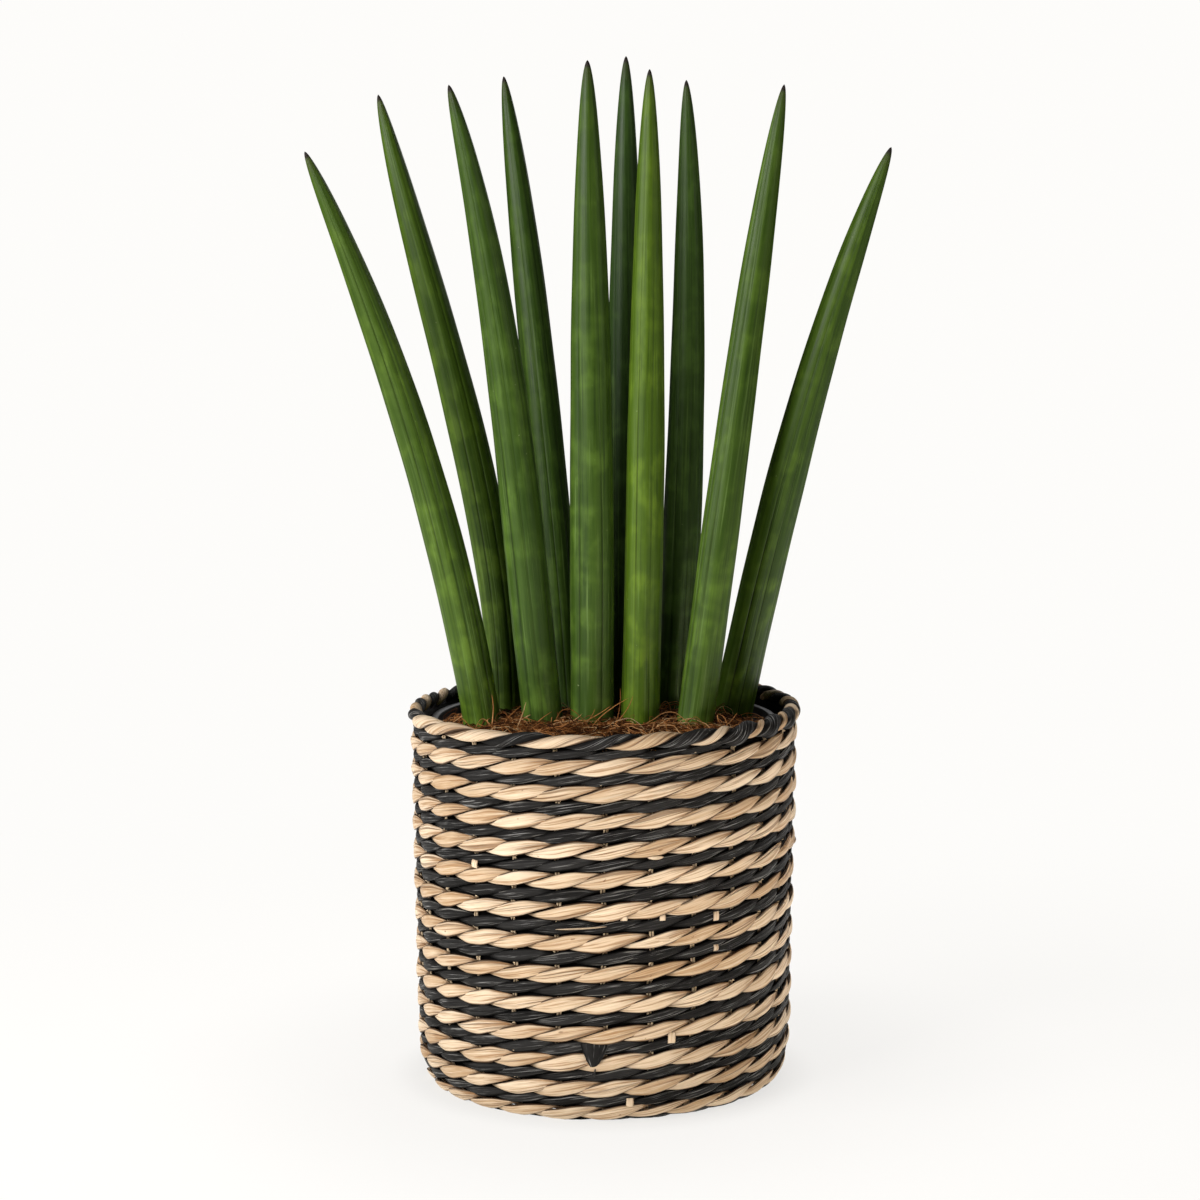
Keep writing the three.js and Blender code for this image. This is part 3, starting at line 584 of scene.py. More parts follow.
def twine_ply(name, ply, length_at, last_turn, look, finish, nodes):
    """One ply of a two-ply weft. Its centre circles the row's own line, half a turn of the twist from
    the other ply, out by the table PLY_OUT and up by PLY_RISE. Its section is a lens, as tall as
    PLY_HALF says: tall where it passes outside, and narrow where it crosses the other ply."""
    draw = np.random.default_rng(look["seed"] + ply)
    start = PHASE[0] + TAU * 0.4
    end = np.interp(last_turn, PHASE_TURN, PHASE)
    phase = np.arange(start, end, TAU / STEPS_PER_TWIST)
    turn = np.interp(phase, PHASE, PHASE_TURN)
    angle = turn_angle(turn)
    from_start, to_end = phase - start, end - phase
    phase = phase + ply * pi

    def grains(low, high):
        return per_grain(draw.uniform(low, high, GRAIN_DRAWS), phase / TAU + GRAINS_BEFORE)

    twist = phase + grains(-0.30, 0.30)
    turned = np.degrees((twist + pi) % TAU - pi)
    off_middle = np.abs(turned)
    ragged = 1 + 0.035 * np.sin(phase * 2.3 + grains(0, TAU)) \
        + 0.025 * np.sin(phase * 4.1 + grains(0, TAU))
    share = np.interp(off_middle, PLY_TURN, PLY_HALF)
    half = look["half"] * grains(0.88, 1.12) * share * ragged
    up = look["half"] * np.sign(turned) * np.interp(off_middle, PLY_TURN, PLY_RISE) + grains(-0.35, 0.35)
    face = np.maximum(np.cos(twist), 0)
    out = np.interp(off_middle, PLY_TURN, PLY_OUT) + look["out"] + grains(-0.25, 0.25) * face
    thick = look["thick"] * grains(0.85, 1.15) * (0.4 + 0.66 * share)

    # Under the rim the weft is squeezed flat. Under the base it is thinner, round the foot it lies
    # further out, and at both of its ends it thins and sinks in.
    s = length_at(turn)
    ceiling = rim_height(angle) - CORNER_HEIGHT + CORNER_LENGTH - SQUEEZE_ROOM
    room = np.clip((ceiling - (s - look["half"])) / (2 * look["half"]), 0.3, 1)
    s = s - look["half"] * (1 - room)
    base = 1 - smooth_step(-16, -6, s)
    round_foot = smooth_step(-16, -4, s) * smooth_step(32, 12, s)
    strength = smooth_step(0, 2.4, to_end) * smooth_step(0, 1.5, from_start + 0.3)
    thick = thick * (1 - 0.18 * base)
    depth = look["depth"] - 0.55 * base - 1.3 * round_foot + 1.4 * (1 - strength)
    half, up = half * room * (0.35 + 0.65 * strength), up * room

    # The section: a lens with lumps, and on some grains a fold pressed into its outside.
    corner = -np.arange(PLY_SIDES) / PLY_SIDES * TAU
    corner = corner - 0.35 * np.sin(corner)
    flat_x = np.sign(np.cos(corner)) * np.abs(np.cos(corner)) ** 1.2
    flat_y = np.sin(corner)
    lumps = 1 + 0.045 * np.cos(2 * corner + grains(0, TAU)[:, None]) \
        + 0.035 * np.cos(3 * corner + grains(0, TAU)[:, None] + 0.5 * twist[:, None]) \
        + 0.020 * np.cos(5 * corner + grains(0, TAU)[:, None])
    from_fold = (corner + pi) % TAU - pi - grains(-0.9, 0.9)[:, None]
    fold = np.maximum(grains(-0.6, 0.8), 0)[:, None] * np.exp(-from_fold ** 2 / 0.06)
    x = thick[:, None] * flat_x * lumps - 0.4 * fold * face[:, None]
    y = half[:, None] * flat_y * lumps
    lean = (0.10 * np.sin(twist) + grains(-0.12, 0.12))[:, None]
    ring_out = out[:, None] - depth[:, None] + x * np.cos(lean) - y * np.sin(lean)
    ring_up = up[:, None] + x * np.sin(lean) + y * np.cos(lean)
    rings = on_skin(s[:, None], angle[:, None], ring_out, ring_up)

    grain = grain_place(np.cos(twist), turned / 150, np.abs(np.sin(corner)))
    make_piece(name, tubes(rings[None]), finish, nodes,
               tube_map((phase / TAU * GRAIN_LENGTH)[None],
                        np.arange(PLY_SIDES + 1) / PLY_SIDES * PLY_ROUND),
               {"tone": on_tube(grains(0, 1)[None], PLY_SIDES), "grain": on_tube(grain[None], PLY_SIDES)})


def grain_place(front, along, edge):
    """One vector for each point from front[ring], along[ring] and edge[corner]."""
    return np.stack(np.broadcast_arrays(front[:, None], along[:, None], edge[None]), -1)


# Half the height of a row, half the thickness of a ply, how far out the ply bulges, and how deep in the
# skin its middle lies.
NATURAL_LOOK = dict(seed=20, half=4.8, thick=1.15, out=0.15, depth=0.9)
BLACK_LOOK = dict(seed=40, half=3.8, thick=1.05, out=0.0, depth=1.9)


def set_stakes():
    """Each stake is a pair of thin rods along the inside of the skin, from under the base to the rim.
    Between the rows they come out a little, to a random height at every gap."""
    draw = np.random.default_rng(60)
    sides = 5
    index = np.repeat(np.arange(STAKES), 2)
    shift = np.tile([-STAKE_SPLIT, STAKE_SPLIT], STAKES)
    end = CORNER_LENGTH + RIM_HEIGHT - CORNER_HEIGHT - 4
    turns = np.arange(-4, 14)[None, :] + (index / STAKES)[:, None]
    gaps = [row_length(turns) + STAKE_SHOWS, row_length(turns + 1) - STAKE_SHOWS]
    gaps = np.sort(np.concatenate(gaps, 1), 1)
    heights = draw.uniform(-2.0, 2.1, gaps.shape).clip(0)
    s = (gaps[:, :, None] + [-0.75, 0, 0.75]).reshape(len(index), -1)
    bulge = (heights[:, :, None] * [0, 1, 0]).reshape(s.shape)
    start = np.where(index % 2 == 0, -84.0, -52.0)[:, None]
    s = np.concatenate([start, np.maximum(s, start + 0.5), np.full_like(start, end)], 1)
    s = np.minimum(s, end)
    bulge = np.pad(bulge, ((0, 0), (1, 1)))
    reach = np.maximum(np.interp(s, OUTLINE_S, OUTLINE_R), 8)
    sway = 0.008 * np.sin(s / 9 + np.repeat(draw.uniform(0, TAU, (STAKES, 1)), 2, 0))
    angle = turn_angle(index / STAKES)[:, None] + sway + shift[:, None] / reach
    corner = np.arange(sides) / sides * TAU
    out = (bulge - STAKE_DEPTH)[:, :, None] + STAKE_RADIUS * np.sin(corner)
    side = STAKE_RADIUS * np.cos(corner) / reach[:, :, None]
    rings = on_skin(s[:, :, None], angle[:, :, None] + side, out)
    make_piece("stakes", tubes(rings), STAKE_CANE, ["basket_natural_weave"],
               tube_map(s / 10, np.arange(sides + 1) / sides))


def line_the_wall():
    """The inside of the wefts: a thin wall 4.2 to 4.9 mm within the skin, carried round, with a low
    ripple that follows the twist. It is a dark sheet for the shade seen through gaps in the weave."""
    rows, around = 18, 8 * STAKES
    up = np.linspace(-14, CORNER_LENGTH + RIM_HEIGHT - CORNER_HEIGHT + 0.5, rows)
    s = np.concatenate([up[::-1], up])
    depth = np.repeat([4.2, 4.9], rows)
    angle = np.arange(around) / around * TAU
    ripple = 0.3 * np.cos(STAKES * angle[:, None] + s * TAU / ROW_PITCH)
    rings = on_skin(s[None], angle[:, None], ripple - depth)
    count = around * 2 * rows
    make_piece("weft_inside_shade", tubes(rings[None], True), BLACK_RUSH, ["basket_black_weave"],
               tube_map(np.arange(around + 1)[None] * 0.32, np.linspace(0, 40, 2 * rows + 1), True),
               # Every point counts as a ply's edge, so the finish's painted edge shade makes the sheet
               # near black.
               {"tone": np.zeros(count), "grain": np.tile([1.0, 0.0, 1.0], (count, 1))})


# Short strips that stand out of the weave. Degrees from the front, height, length, width, tilt from
# level, how far out the middle and the ends lie, how blunt the ends are (0 pointed, 1 cut, and -1 cut at
# the upper end and pointed at the lower), and the draw of tone.
PALE_STRIPS = [
    (20.0, 47.0, 6.0, 4.6, 88, -0.2, -0.4, 1, 0.75), (7.8, 11.4, 5.6, 4.4, 90, 0.0, -0.4, 1, 0.70),
    (34.3, 111.8, 5.0, 3.8, 90, -0.3, -0.6, 1, 0.75), (34.7, 93.9, 3.4, 3.4, 90, -0.9, -1.4, 1, 0.55),
    (-40.3, 139.4, 4.4, 4.4, 84, 0.1, -0.3, 1, 0.95), (5.7, 115.2, 3.6, 4.0, 90, -0.7, -1.2, 1, 0.90),
    (17.1, 114.2, 3.4, 3.6, 90, -0.9, -1.3, 1, 0.70),
    (-6.6, 109.4, 28.0, 1.0, 5, 0.5, -0.4, 0.2, 1.0), (17.0, 102.4, 16.0, 2.6, -3, 0.1, -1.6, 0.1, 0.6),
    (14.9, 147.6, 9.0, 2.0, 0, 0.0, -1.4, 0.1, 0.7),
    (2.6, 217.4, 7.5, 2.2, 4, 0.4, -0.8, 0.3, 0.8), (128.0, 88.0, 6.0, 4.4, 90, -0.1, -0.5, 1, 0.6),
    (-138.0, 152.0, 14.0, 2.0, -5, 0.2, -1.4, 0.1, 0.8),
    (176.0, 60.0, 5.0, 4.2, 88, -0.2, -0.5, 1, 0.8), (-104.0, 120.0, 12.0, 1.6, 8, 0.3, -1.2, 0.1, 0.9),
    (88.0, 136.0, 11.0, 2.0, 14, 0.2, -1.2, 0.1, 0.5),
]
BLACK_STRIPS = [
    (-3.0, 37.8, 14.5, 17.0, 86, 0.5, -1.9, -1, 0.4), (-2.7, 28.8, 6.0, 1.0, 84, -0.4, -1.3, 0.2, 0.6),
]


def lay_strips(name, strips, finish, node, seed):
    """Each strip is a lens-shaped section carried along a straight line on the skin, t from -1 to 1,
    bowed outwards as 1-t^2. It narrows to both ends as (1-t^2)^0.6, less so the blunter they are, or
    from its upper end to the lower as ((1+t)/2)^0.8. Its edges are a little ragged."""
    draw = np.random.default_rng(seed)
    columns = np.array(strips, float).T[:, :, None]
    degrees, height, length, width, tilt, middle, ends, blunt, tone = columns
    steps, sides = 16, 10
    t = np.linspace(-1, 1, steps)[None]
    bow = 1 - t ** 2
    narrow = np.where(blunt < 0, ((1 + t) / 2) ** 0.8 * 0.97 + 0.03, blunt + (1 - blunt) * bow ** 0.6)
    reach = width / 2 * narrow * (1 + 0.04 * draw.normal(0, 1, (len(strips), steps)))
    lean = np.radians(tilt)
    run = length / 2 * t
    s = height + CORNER_LENGTH - CORNER_HEIGHT + run * np.sin(lean)
    s = np.where(height < CORNER_HEIGHT, np.interp(height, CORNER_Z, CORNER_RUN) + run * np.sin(lean), s)
    corner = -np.arange(sides) / sides * TAU
    across = reach[..., None] * np.sin(corner)
    thick = STRIP_THICKNESS * (0.35 + 0.65 * bow)
    out = (STRIP_LIFT + ends + (middle - ends) * bow)[..., None] + thick[..., None] * np.cos(corner)
    side = (run * np.cos(lean))[..., None] - across * np.sin(lean)[..., None]
    rise = across * np.cos(lean)[..., None]
    angle = np.radians(degrees)[..., None] - pi / 2 + side / WALL_MIDDLE
    rings = on_skin(s[..., None] + rise, angle, out)
    # The edge value, scaled to 0.9, sets how much of the finish's painted edge shade the strips get.
    grain = grain_place(np.ones(steps), t[0] * 0.6, 0.9 * np.abs(np.sin(corner)))
    make_piece(name, tubes(rings), finish, [node], tube_map(run / 10, np.arange(sides + 1) / sides),
               {"tone": on_tube(np.repeat(tone, steps, 1), sides),
                "grain": on_tube(np.repeat(grain[None], len(strips), 0), sides)})


# --- Rim --------------------------------------------------------------------------------------------
# Where the natural ply lies on the outside: degrees from the front, anticlockwise seen from above.
RIM_GRAINS = [-72, -40, -14.3, 12.8, 34.3, 50.2, 64.8, 79, 93, 107, 121.5, 136, 150.5, 165, 179, 193,
              208, 223, 238.5, 251.8, 263]
RIM_TWISTS = len(RIM_GRAINS)
RIM_STEPS = 40  # steps in a twist of the rope
RIM_GRAIN_LENGTH = 4.6  # in centimetres, for the rush's pattern

# The share of the rope's round that the natural ply takes up, by degrees from the front.
NATURAL_AT = [-72, 15, 32, 60, 92, 250, 288]
NATURAL_SHARE = [0.58, 0.58, 0.30, 0.27, 0.44, 0.48, 0.58]


def rim_phase_table():
    """Angle from the front against twist, eased by a running mean over a little more than one twist."""
    count = np.arange(-4, RIM_TWISTS + 5)
    degrees = np.array([RIM_GRAINS[n % RIM_TWISTS] + 360 * (n // RIM_TWISTS) for n in count])
    fine = np.linspace(-3, RIM_TWISTS + 3, 6000)
    window = np.ones(251) / 251
    eased = np.convolve(np.interp(fine, count, degrees), window, "same")
    return fine * TAU, np.radians(eased)


RIM_PHASE, RIM_PLACE = rim_phase_table()


def rim_ply(name, ply, finish, nodes, low, high, seed):
    """One ply of the rim's rope. Its section is a crescent that takes up a share of the rope's round:
    the radius is R(1-0.45u^2.2) at the share u from the crescent's middle to its tips, and 0.3R inside.
    It turns with the twist, and swells on the outside of the rim, as R does with 1+0.09cos(twist). low
    and high are the twists it runs through; a full round makes a ring."""
    draw = np.random.default_rng(seed)
    closed = high - low >= RIM_TWISTS
    outside, inside = 15, 5
    sides = outside + inside
    steps = round((high - low) * RIM_STEPS) + (0 if closed else 1)
    twist = (low + np.arange(steps) / RIM_STEPS) * TAU
    place = np.interp(twist, RIM_PHASE, RIM_PLACE)
    angle = place - pi / 2
    twist = twist + ply * pi
    grain_draws = draw.uniform(0, 1, (6, RIM_TWISTS))

    def grains(row, least, most):
        return per_grain(least + (most - least) * grain_draws[row], twist / TAU)

    # Right of the middle the black ply takes in the top black row: it is broad, and the natural narrow.
    degrees = np.degrees(place)
    natural = np.interp(degrees, NATURAL_AT, NATURAL_SHARE)
    share = natural if ply == 0 else 1 - natural
    right = smooth_step(20, 42, degrees) * smooth_step(96, 66, degrees)
    black = finish is BLACK_RUSH
    radius = (ROPE_RADIUS + (1.15 if black else 0.2) * right) * grains(0, 0.92, 1.10) \
        * (1 + 0.09 * np.cos(twist))
    across = np.concatenate([np.linspace(1, -1, outside), np.linspace(-0.66, 0.66, inside)])
    tip = np.abs(across)
    profile = np.concatenate([(1 - 0.45 * tip ** 2.2)[:outside], np.full(inside, 0.30)])
    lumps = 1 + 0.025 * np.cos(2.5 * across + (TAU * grains(2, 0, 1))[:, None]) \
        + 0.015 * np.cos(5 * across + (TAU * grains(3, 0, 1))[:, None])
    reach = radius[:, None] * profile * lumps
    turned = twist[:, None] + across * (pi * share * 1.04)[:, None] + grains(5, -0.12, 0.12)[:, None]
    drop = (1.5 if black else 0.0) * right * np.maximum(np.cos(twist), 0)
    distance = RIM_RADIUS + reach * np.cos(turned)
    z = (rim_height(angle) + ROPE_LIFT - 0.3 * right - drop)[:, None] + reach * np.sin(turned)
    rings = np.stack([distance * np.cos(angle)[:, None], distance * np.sin(angle)[:, None], z], -1)
    along = twist / TAU * RIM_GRAIN_LENGTH
    if closed:
        along = np.append(along, along[-1] + RIM_GRAIN_LENGTH / RIM_STEPS)
    # Edge values drive the finish's painted edge shade: stronger at the crescent's tips, and full on the
    # inside, painted dark as shade between the plies.
    edge = np.where(np.arange(sides) < outside, 1.12 * tip, 1.0)
    values = {"tone": grains(4, 0, 1)[:, None].repeat(sides, 1),
              "grain": grain_place(np.ones(steps), np.zeros(steps), edge)}
    if closed:
        spread = {key: value.reshape(steps * sides, -1).squeeze() for key, value in values.items()}
    else:
        spread = {key: on_tube(value[None], sides) for key, value in values.items()}
    around = np.concatenate([np.linspace(0, 1.7, outside), np.linspace(1.8, 2.4, inside + 1)])
    make_piece(name, tubes(rings[None], closed), finish, nodes,
               tube_map(along[None], around, closed), spread)


# --- Pot and mulch ----------------------------------------------------------------------------------
def turn_pot():
    """The pot is a lathed wall with a rolled lip: a profile of radius and height carried round."""
    curl = np.linspace(-pi / 2, pi / 2, 7)[1:]
    lip = [(POT_LIP + 0.9 * cos(a) - 0.9, POT_TOP - 1.0 + sin(a)) for a in curl]
    mouth, base = POT_MOUTH - POT_WALL, POT_BASE - POT_WALL
    profile = [(POT_BASE - 3, POT_BOTTOM), (POT_BASE, POT_BOTTOM + 2), (POT_MOUTH, POT_TOP - 8),
               (POT_LIP - 0.4, POT_TOP - 6), (POT_LIP, POT_TOP - 5.4), *lip,
               (mouth + 0.8, POT_TOP), (mouth + 0.2, POT_TOP - 0.4), (mouth, POT_TOP - 1.4),
               (base, POT_BOTTOM + 3), (base - 2, POT_BOTTOM + 2)]
    r, z = np.array(profile).T
    sides = 160
    angle = np.arange(sides) / sides * TAU
    rings = np.stack(np.broadcast_arrays(
        r[:, None] * np.cos(angle), r[:, None] * np.sin(angle), z[:, None]), -1)
    make_piece("grow_pot_shell", tubes(rings[None]), POT_PLASTIC, ["grow_pot"],
               tube_map(np.arange(len(r), dtype=float)[None], np.arange(sides + 1) / sides))


def mulch_height(x, y):
    """Height of the coir: a low crown that falls to the pot and towards the back, with lumps."""
    r = np.hypot(x, y)
    waves = np.sin(0.21 * x + 0.4) + np.sin(0.25 * y - 0.13 * x) + np.sin(0.37 * y + 1.3)
    lumps = 0.3 * waves + 0.5 * np.sin(0.55 * x + 0.31 * y) * np.sin(0.47 * y - 0.2 * x + 1)
    fall = 12.0 * smooth_step(-12, 50, y) + 2.2 * smooth_step(70, 93, r)
    return COIR_CROWN - COIR_DIP * (r / POT_MOUTH) ** 4 + lumps - fall


def lay_mulch():
    """The mat under the loose fibres: rings from the middle of its underside to its edge, and from there
    inwards over the mulch's height, with fine bumps."""
    draw = np.random.default_rng(7)
    share = np.linspace(1, 0.02, 44)
    sides = 120
    angle = np.arange(sides) / sides * TAU
    x, y = MAT_RADIUS * share[:, None] * np.cos(angle), MAT_RADIUS * share[:, None] * np.sin(angle)
    fine = draw.normal(0, 0.45, x.shape) * (share[:, None] > 0.1)
    top = np.stack([x, y, mulch_height(x, y) - 0.6 + fine], -1)
    edge = top[:1] * [1, 1, 0] + [0, 0, MAT_UNDERSIDE]
    rings = np.concatenate([edge * [0.02, 0.02, 1], edge, top])
    # The mat is dark brown coir, darkened nearly to black as painted shade for the gaps among the loose
    # fibres.
    tone = np.clip(0.08 + fine * 0.12, 0.01, 0.3)
    tone = np.concatenate([tone[:1], tone[:1], tone])
    make_piece("coir_mat", tubes(rings[None]), COIR_FIBRE, ["coir_mulch"], None,
               {"tone": on_tube(tone[None], sides)})


def curl_fibres(name, count, seed, lengths, lift, radii, tones, spread):
    """Loose fibres: three-sided hairs whose heading turns steadily and jitters, lifted over the mulch
    by an arch of random height. spread draws where they start; lift is the shape and scale of a gamma
    draw, and the other ranges are in millimetres and shares."""
    draw = np.random.default_rng(seed)
    steps = 12
    x, y = spread(draw, count)
    length = draw.uniform(*lengths, count)
    heading = draw.uniform(0, TAU, count)[:, None] + np.cumsum(
        draw.normal(0, 0.20, (count, steps)) + draw.normal(0, 0.30, (count, 1)), 1)
    step = (length / steps)[:, None]
    x = x[:, None] + np.cumsum(step * np.cos(heading), 1)
    y = y[:, None] + np.cumsum(step * np.sin(heading), 1)
    r = np.hypot(x, y)
    held = np.minimum(1, FIBRE_RANGE / r)
    x, y = x * held, y * held
    t = np.linspace(0, 1, steps)[None]
    arch = draw.gamma(*lift, count)[:, None] * np.sin(pi * t ** draw.uniform(0.6, 1.6, (count, 1)))
    z = mulch_height(x, y) + arch + draw.uniform(-0.8, 0.9, (count, 1))
    path = np.stack([x, y, z], -1)
    place_hairs(name, path, draw.uniform(*radii, count), draw.uniform(*tones, count))


def place_hairs(name, path, radius, tone):
    """Three-sided tubes along path[hair, step], thinner at both ends."""
    count, steps = path.shape[:2]
    along = np.gradient(path, axis=1)
    along /= np.maximum(np.linalg.norm(along, axis=2, keepdims=True), 1e-6)
    side = np.cross(along, [0.1, 0.05, 1.0])
    side /= np.maximum(np.linalg.norm(side, axis=2, keepdims=True), 1e-6)
    over = np.cross(along, side)
    t = np.linspace(0, 1, steps)
    reach = radius[:, None] * (0.3 + 0.7 * np.sin(pi * t) ** 0.5)
    corner = np.arange(3) / 3 * TAU
    rings = path[:, :, None] + reach[:, :, None, None] * (
        side[:, :, None] * np.cos(corner)[:, None] + over[:, :, None] * np.sin(corner)[:, None])
    make_piece(name, tubes(rings), COIR_FIBRE, ["coir_mulch"], None,
               {"tone": on_tube(np.repeat(tone[:, None], steps, 1), 3)})


# Loose straws that stand up out of the mulch, most of them before the leaves: foot x, y; tip x, y;
# height over the foot; bow to the side; radius; tone.
STRAWS = [
    (-64, -46, -62, -47, 21, 1.6, 0.42, 0.86), (-57, -44, -46, -44, 12, -2.0, 0.30, 0.72),
    (-50, -52, -43, -53, 16, 0.6, 0.38, 0.95), (-42, -46, -29, -45, 9, -1.4, 0.28, 0.80),
    (-24, -48, 4, -46, 12, 2.6, 0.30, 0.78), (-14, -46, -5, -45, 10, 1.2, 0.26, 0.70),
    (-8, -50, 14, -47, 16, -3.4, 0.28, 0.82), (2, -48, 16, -47, 17, 2.2, 0.26, 0.76),
    (5, -47, 9, -45, 21, 1.5, 0.24, 0.66), (-30, -44, -12, -44, 8, 2.0, 0.28, 0.90),
    (20, -52, 38, -49, 7, 1.6, 0.28, 0.84), (40, -45, 55, -43, 9, -1.6, 0.26, 0.70),
    (-70, -42, -80, -38, 9, 1.0, 0.28, 0.74), (63, -40, 74, -38, 8, 1.4, 0.26, 0.80),
    (-2, 34, 14, 38, 14, 2.0, 0.28, 0.80), (-48, 40, -60, 42, 11, 1.8, 0.26, 0.75),
]


def stand_straws():
    """Each straw runs straight from foot to tip, bowed to the side as 4t(1-t)."""
    foot_x, foot_y, tip_x, tip_y, height, bow, radius, tone = np.array(STRAWS, float).T[:, :, None]
    t = np.linspace(0, 1, 12)[None]
    x = foot_x + (tip_x - foot_x) * t + bow * 4 * t * (1 - t)
    y = foot_y + (tip_y - foot_y) * t
    z = mulch_height(foot_x, foot_y) - 2.5 + (height + 2.5) * t
    place_hairs("standing_straws", np.stack([x, y, z], -1), radius[:, 0], tone[:, 0])


def all_over(draw, count):
    """Points spread evenly over the mulch."""
    r = 92 * np.sqrt(draw.random(count))
    a = draw.uniform(0, TAU, count)
    return r * np.cos(a), r * np.sin(a)


def before_the_leaves(draw, count):
    """Points in front of the leaves and among their feet."""
    return draw.uniform(-82, 86, count), draw.uniform(-62, 8, count)


# --- Building ---------------------------------------------------------------------------------------
for number, leaf in enumerate(LEAVES, 1):
    grow_leaf(number, leaf)

for ply in (0, 1):
    twine_ply(f"natural_weft_{ply + 1}", ply, row_length, NATURAL_TURNS, NATURAL_LOOK, NATURAL_RUSH,
              ["basket_natural_weave"])
    twine_ply(f"black_weft_{ply + 1}", ply, black_length, BLACK_TURNS, BLACK_LOOK, BLACK_RUSH,
              ["basket_black_weave"])
set_stakes()
line_the_wall()
lay_strips("loose_pale_strips", PALE_STRIPS, NATURAL_RUSH, "basket_natural_weave", 70)
lay_strips("loose_black_strips", BLACK_STRIPS, BLACK_RUSH, "basket_black_weave", 71)
# At the left of the front the black ply gives way to a natural one for one twist.
rim_ply("rim_natural_ply", 0, NATURAL_RUSH, ["rim_natural_strand"], 0, RIM_TWISTS, 80)
rim_ply("rim_black_ply", 1, BLACK_RUSH, ["rim_black_strand"], 1, RIM_TWISTS, 81)
rim_ply("rim_spliced_ply", 1, NATURAL_RUSH, ["rim_black_strand"], -0.04, 1.04, 82)
turn_pot()
lay_mulch()
curl_fibres("coir_fibres", 1300, 90, (14, 40), (1.5, 1.1), (0.14, 0.32), (0.08, 0.92), all_over)
curl_fibres("coir_front_fibres", 1800, 91, (12, 38), (1.6, 1.3), (0.13, 0.31), (0.12, 1.02),
            before_the_leaves)
stand_straws()

for node, finish in {"potting_soil": POTTING_SOIL, "rhizome": ROOTSTOCK}.items():
    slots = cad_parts[node].data.materials
    slots.clear()
    slots.append(finish)


# --- Stage, lights and camera -----------------------------------------------------------------------
BACKGROUND = (0.984, 0.975, 0.956)
FLOOR_FADE = 0.80  # metres from the axis where the floor has become the background
FLOOR_REACH = 9
LOOK_DOWN = 7.56  # the camera's tilt, in degrees below level


def floor_finish():
    """White paper, by the distance in metres from the basket's axis. Its own glow makes up most of the
    white, with a painted shadow that darkens it by the basket, so that cast shadows stay faint. Beyond
    0.8 m the glow is all, so that the floor meets the background without an edge. That glow is for the
    view alone: another lights the plant, in rings that are weak by the basket, bright from 0.25 to 0.57
    m, and faint beyond."""
    material = bpy.data.materials.new("white_paper")
    material.use_nodes = True
    wire = Wire(material.node_tree)
    x, y, _ = wire.own_place().xyz()
    reach = (x * x + y * y) ** 0.5
    far = reach.between(0.30, FLOOR_FADE)
    lit = wire.node("ShaderNodeBsdfDiffuse", {}, {"Color": (0.13, 0.125, 0.118, 1)})
    # Painted shadow: the glow darkens in a broad ring and a tight ring round the basket's foot.
    painted_shadow = reach.between(0.30, 0.08) * 0.075 + reach.between(0.128, 0.092) * 0.12
    glow = wire.node("ShaderNodeEmission", {}, {
        "Color": painted_shadow.blend((0.907, 0.898, 0.880), (0.0, 0.0, 0.0)), "Strength": 1.0})
    near = wire.node("ShaderNodeAddShader", {}, {0: lit, 1: glow})
    away = wire.node("ShaderNodeEmission", {}, {"Color": (*BACKGROUND, 1), "Strength": 1.0})
    seen = wire.node("ShaderNodeMixShader", {}, {0: far, 1: near, 2: away})
    bands = wire.node("ShaderNodeValToRGB", {"stops": [
        (0.10, (0.48, 0.47, 0.44)), (0.15, (1.0, 0.98, 0.94)), (0.34, (1.0, 0.98, 0.94)),
        (0.42, (0.25, 0.25, 0.25)), (0.85, (0.25, 0.25, 0.25)), (0.98, (0.0, 0.0, 0.0)),
    ]}, {0: reach * 0.6})
    bounce = wire.node("ShaderNodeEmission", {}, {"Color": bands, "Strength": 2.1})
    to_camera = wire.node("ShaderNodeLightPath")
    mixed = wire.node("ShaderNodeMixShader", {}, {0: to_camera, 1: bounce, 2: seen})
    tree = material.node_tree
    tree.links.new(mixed.socket, tree.nodes["Material Output"].inputs["Surface"])
    return material


def set_floor():
    mesh = bpy.data.meshes.new("floor")
    corners = [(-1, -1), (1, -1), (1, 1), (-1, 1)]
    mesh.from_pydata([(FLOOR_REACH * x, FLOOR_REACH * y, 0) for x, y in corners], [], [(0, 1, 2, 3)])
    mesh.materials.append(floor_finish())
    floor = bpy.data.objects.new("floor", mesh)
    bpy.context.scene.collection.objects.link(floor)


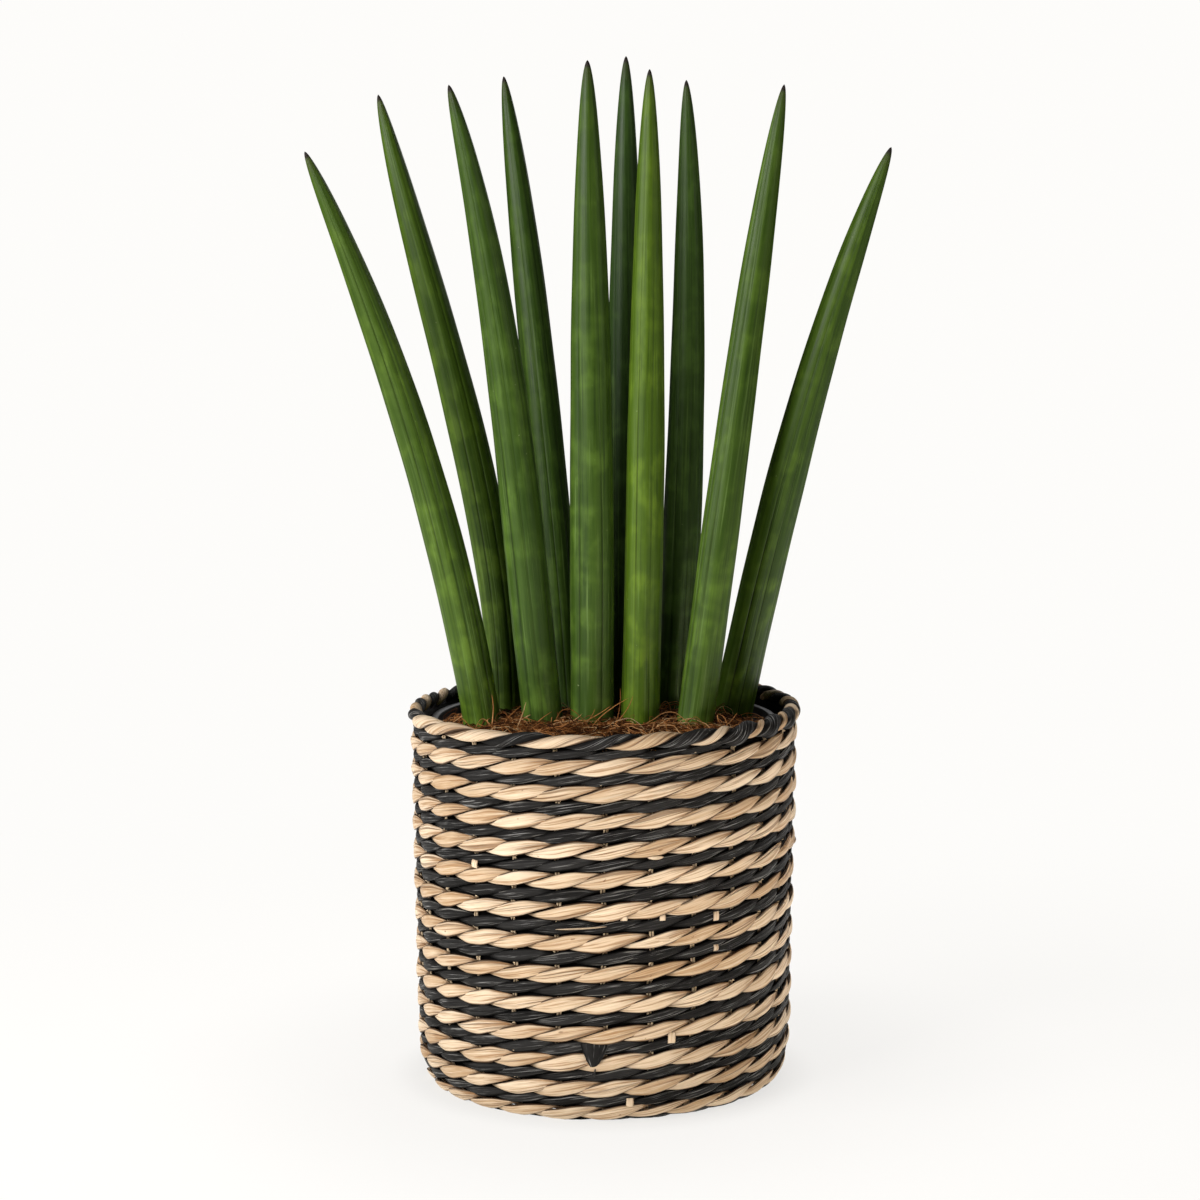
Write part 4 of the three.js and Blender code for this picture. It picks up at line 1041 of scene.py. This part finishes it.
def set_world():
    """The camera sees the paper's white; everything else is lit by a weaker, even glow."""
    world = bpy.data.worlds.new("studio")
    world.use_nodes = True
    tree = world.node_tree
    wire = Wire(tree)
    seen = wire.node("ShaderNodeLightPath")
    glow = wire.node("ShaderNodeBackground", {}, {"Color": (1, 1, 1, 1), "Strength": 0.012})
    paper = wire.node("ShaderNodeBackground", {}, {"Color": (*BACKGROUND, 1), "Strength": 1.0})
    mixed = wire.node("ShaderNodeMixShader", {}, {0: seen, 1: glow, 2: paper})
    tree.links.new(mixed.socket, tree.nodes["World Output"].inputs["Surface"])
    bpy.context.scene.world = world


# Azimuth in degrees from the front, elevation, distance, size, power, the height on the plant's axis that
# the light is turned to, spread, colour
LIGHTS = {
    "key": (-66, 22, 1.7, 0.9, 17, 0.28, 180, (1, 1, 1)),
    "second_key": (-40, 22, 1.7, 0.6, 17, 0.28, 180, (1, 1, 1)),
    "side": (62, 18, 1.7, 0.7, 3.0, 0.28, 180, (1, 0.96, 0.90)),
    "basket_fill": (36, 2, 1.3, 0.12, 0.05, 0.12, 18, (1, 0.87, 0.70)),
    "back": (160, 35, 1.7, 1.4, 9, 0.28, 180, (1, 1, 1)),
    "top": (0, 80, 1.6, 1.2, 0.5, 0.28, 180, (1, 1, 1)),
}


def set_light(name, azimuth, elevation, distance, size, power, height, spread, color):
    """A round area light on a sphere about a point of the plant's axis, turned to that point."""
    light = bpy.data.lights.new(name, "AREA")
    light.shape = "DISK"
    light.size = size
    light.energy = power
    light.color = color
    light.spread = radians(spread)
    lamp = bpy.data.objects.new(name, light)
    a, e = radians(azimuth), radians(elevation)
    lamp.location = (distance * sin(a) * cos(e), -distance * cos(a) * cos(e), height + distance * sin(e))
    lamp.rotation_euler = (pi / 2 - e, 0, a)
    bpy.context.scene.collection.objects.link(lamp)


def set_camera():
    """The camera stands before the plant, a little below its tips, and looks down at the basket."""
    lens = bpy.data.cameras.new("camera")
    lens.lens = 90.87
    lens.sensor_width = 36
    camera = bpy.data.objects.new("camera", lens)
    camera.location = (-0.0022, -1.7, 0.499)
    camera.rotation_euler = (radians(90 - LOOK_DOWN), 0, 0)
    bpy.context.scene.collection.objects.link(camera)
    bpy.context.scene.camera = camera


set_floor()
set_world()
for name, place in LIGHTS.items():
    set_light(name, *place)
set_camera()
bpy.context.scene.view_settings.view_transform = "Standard"
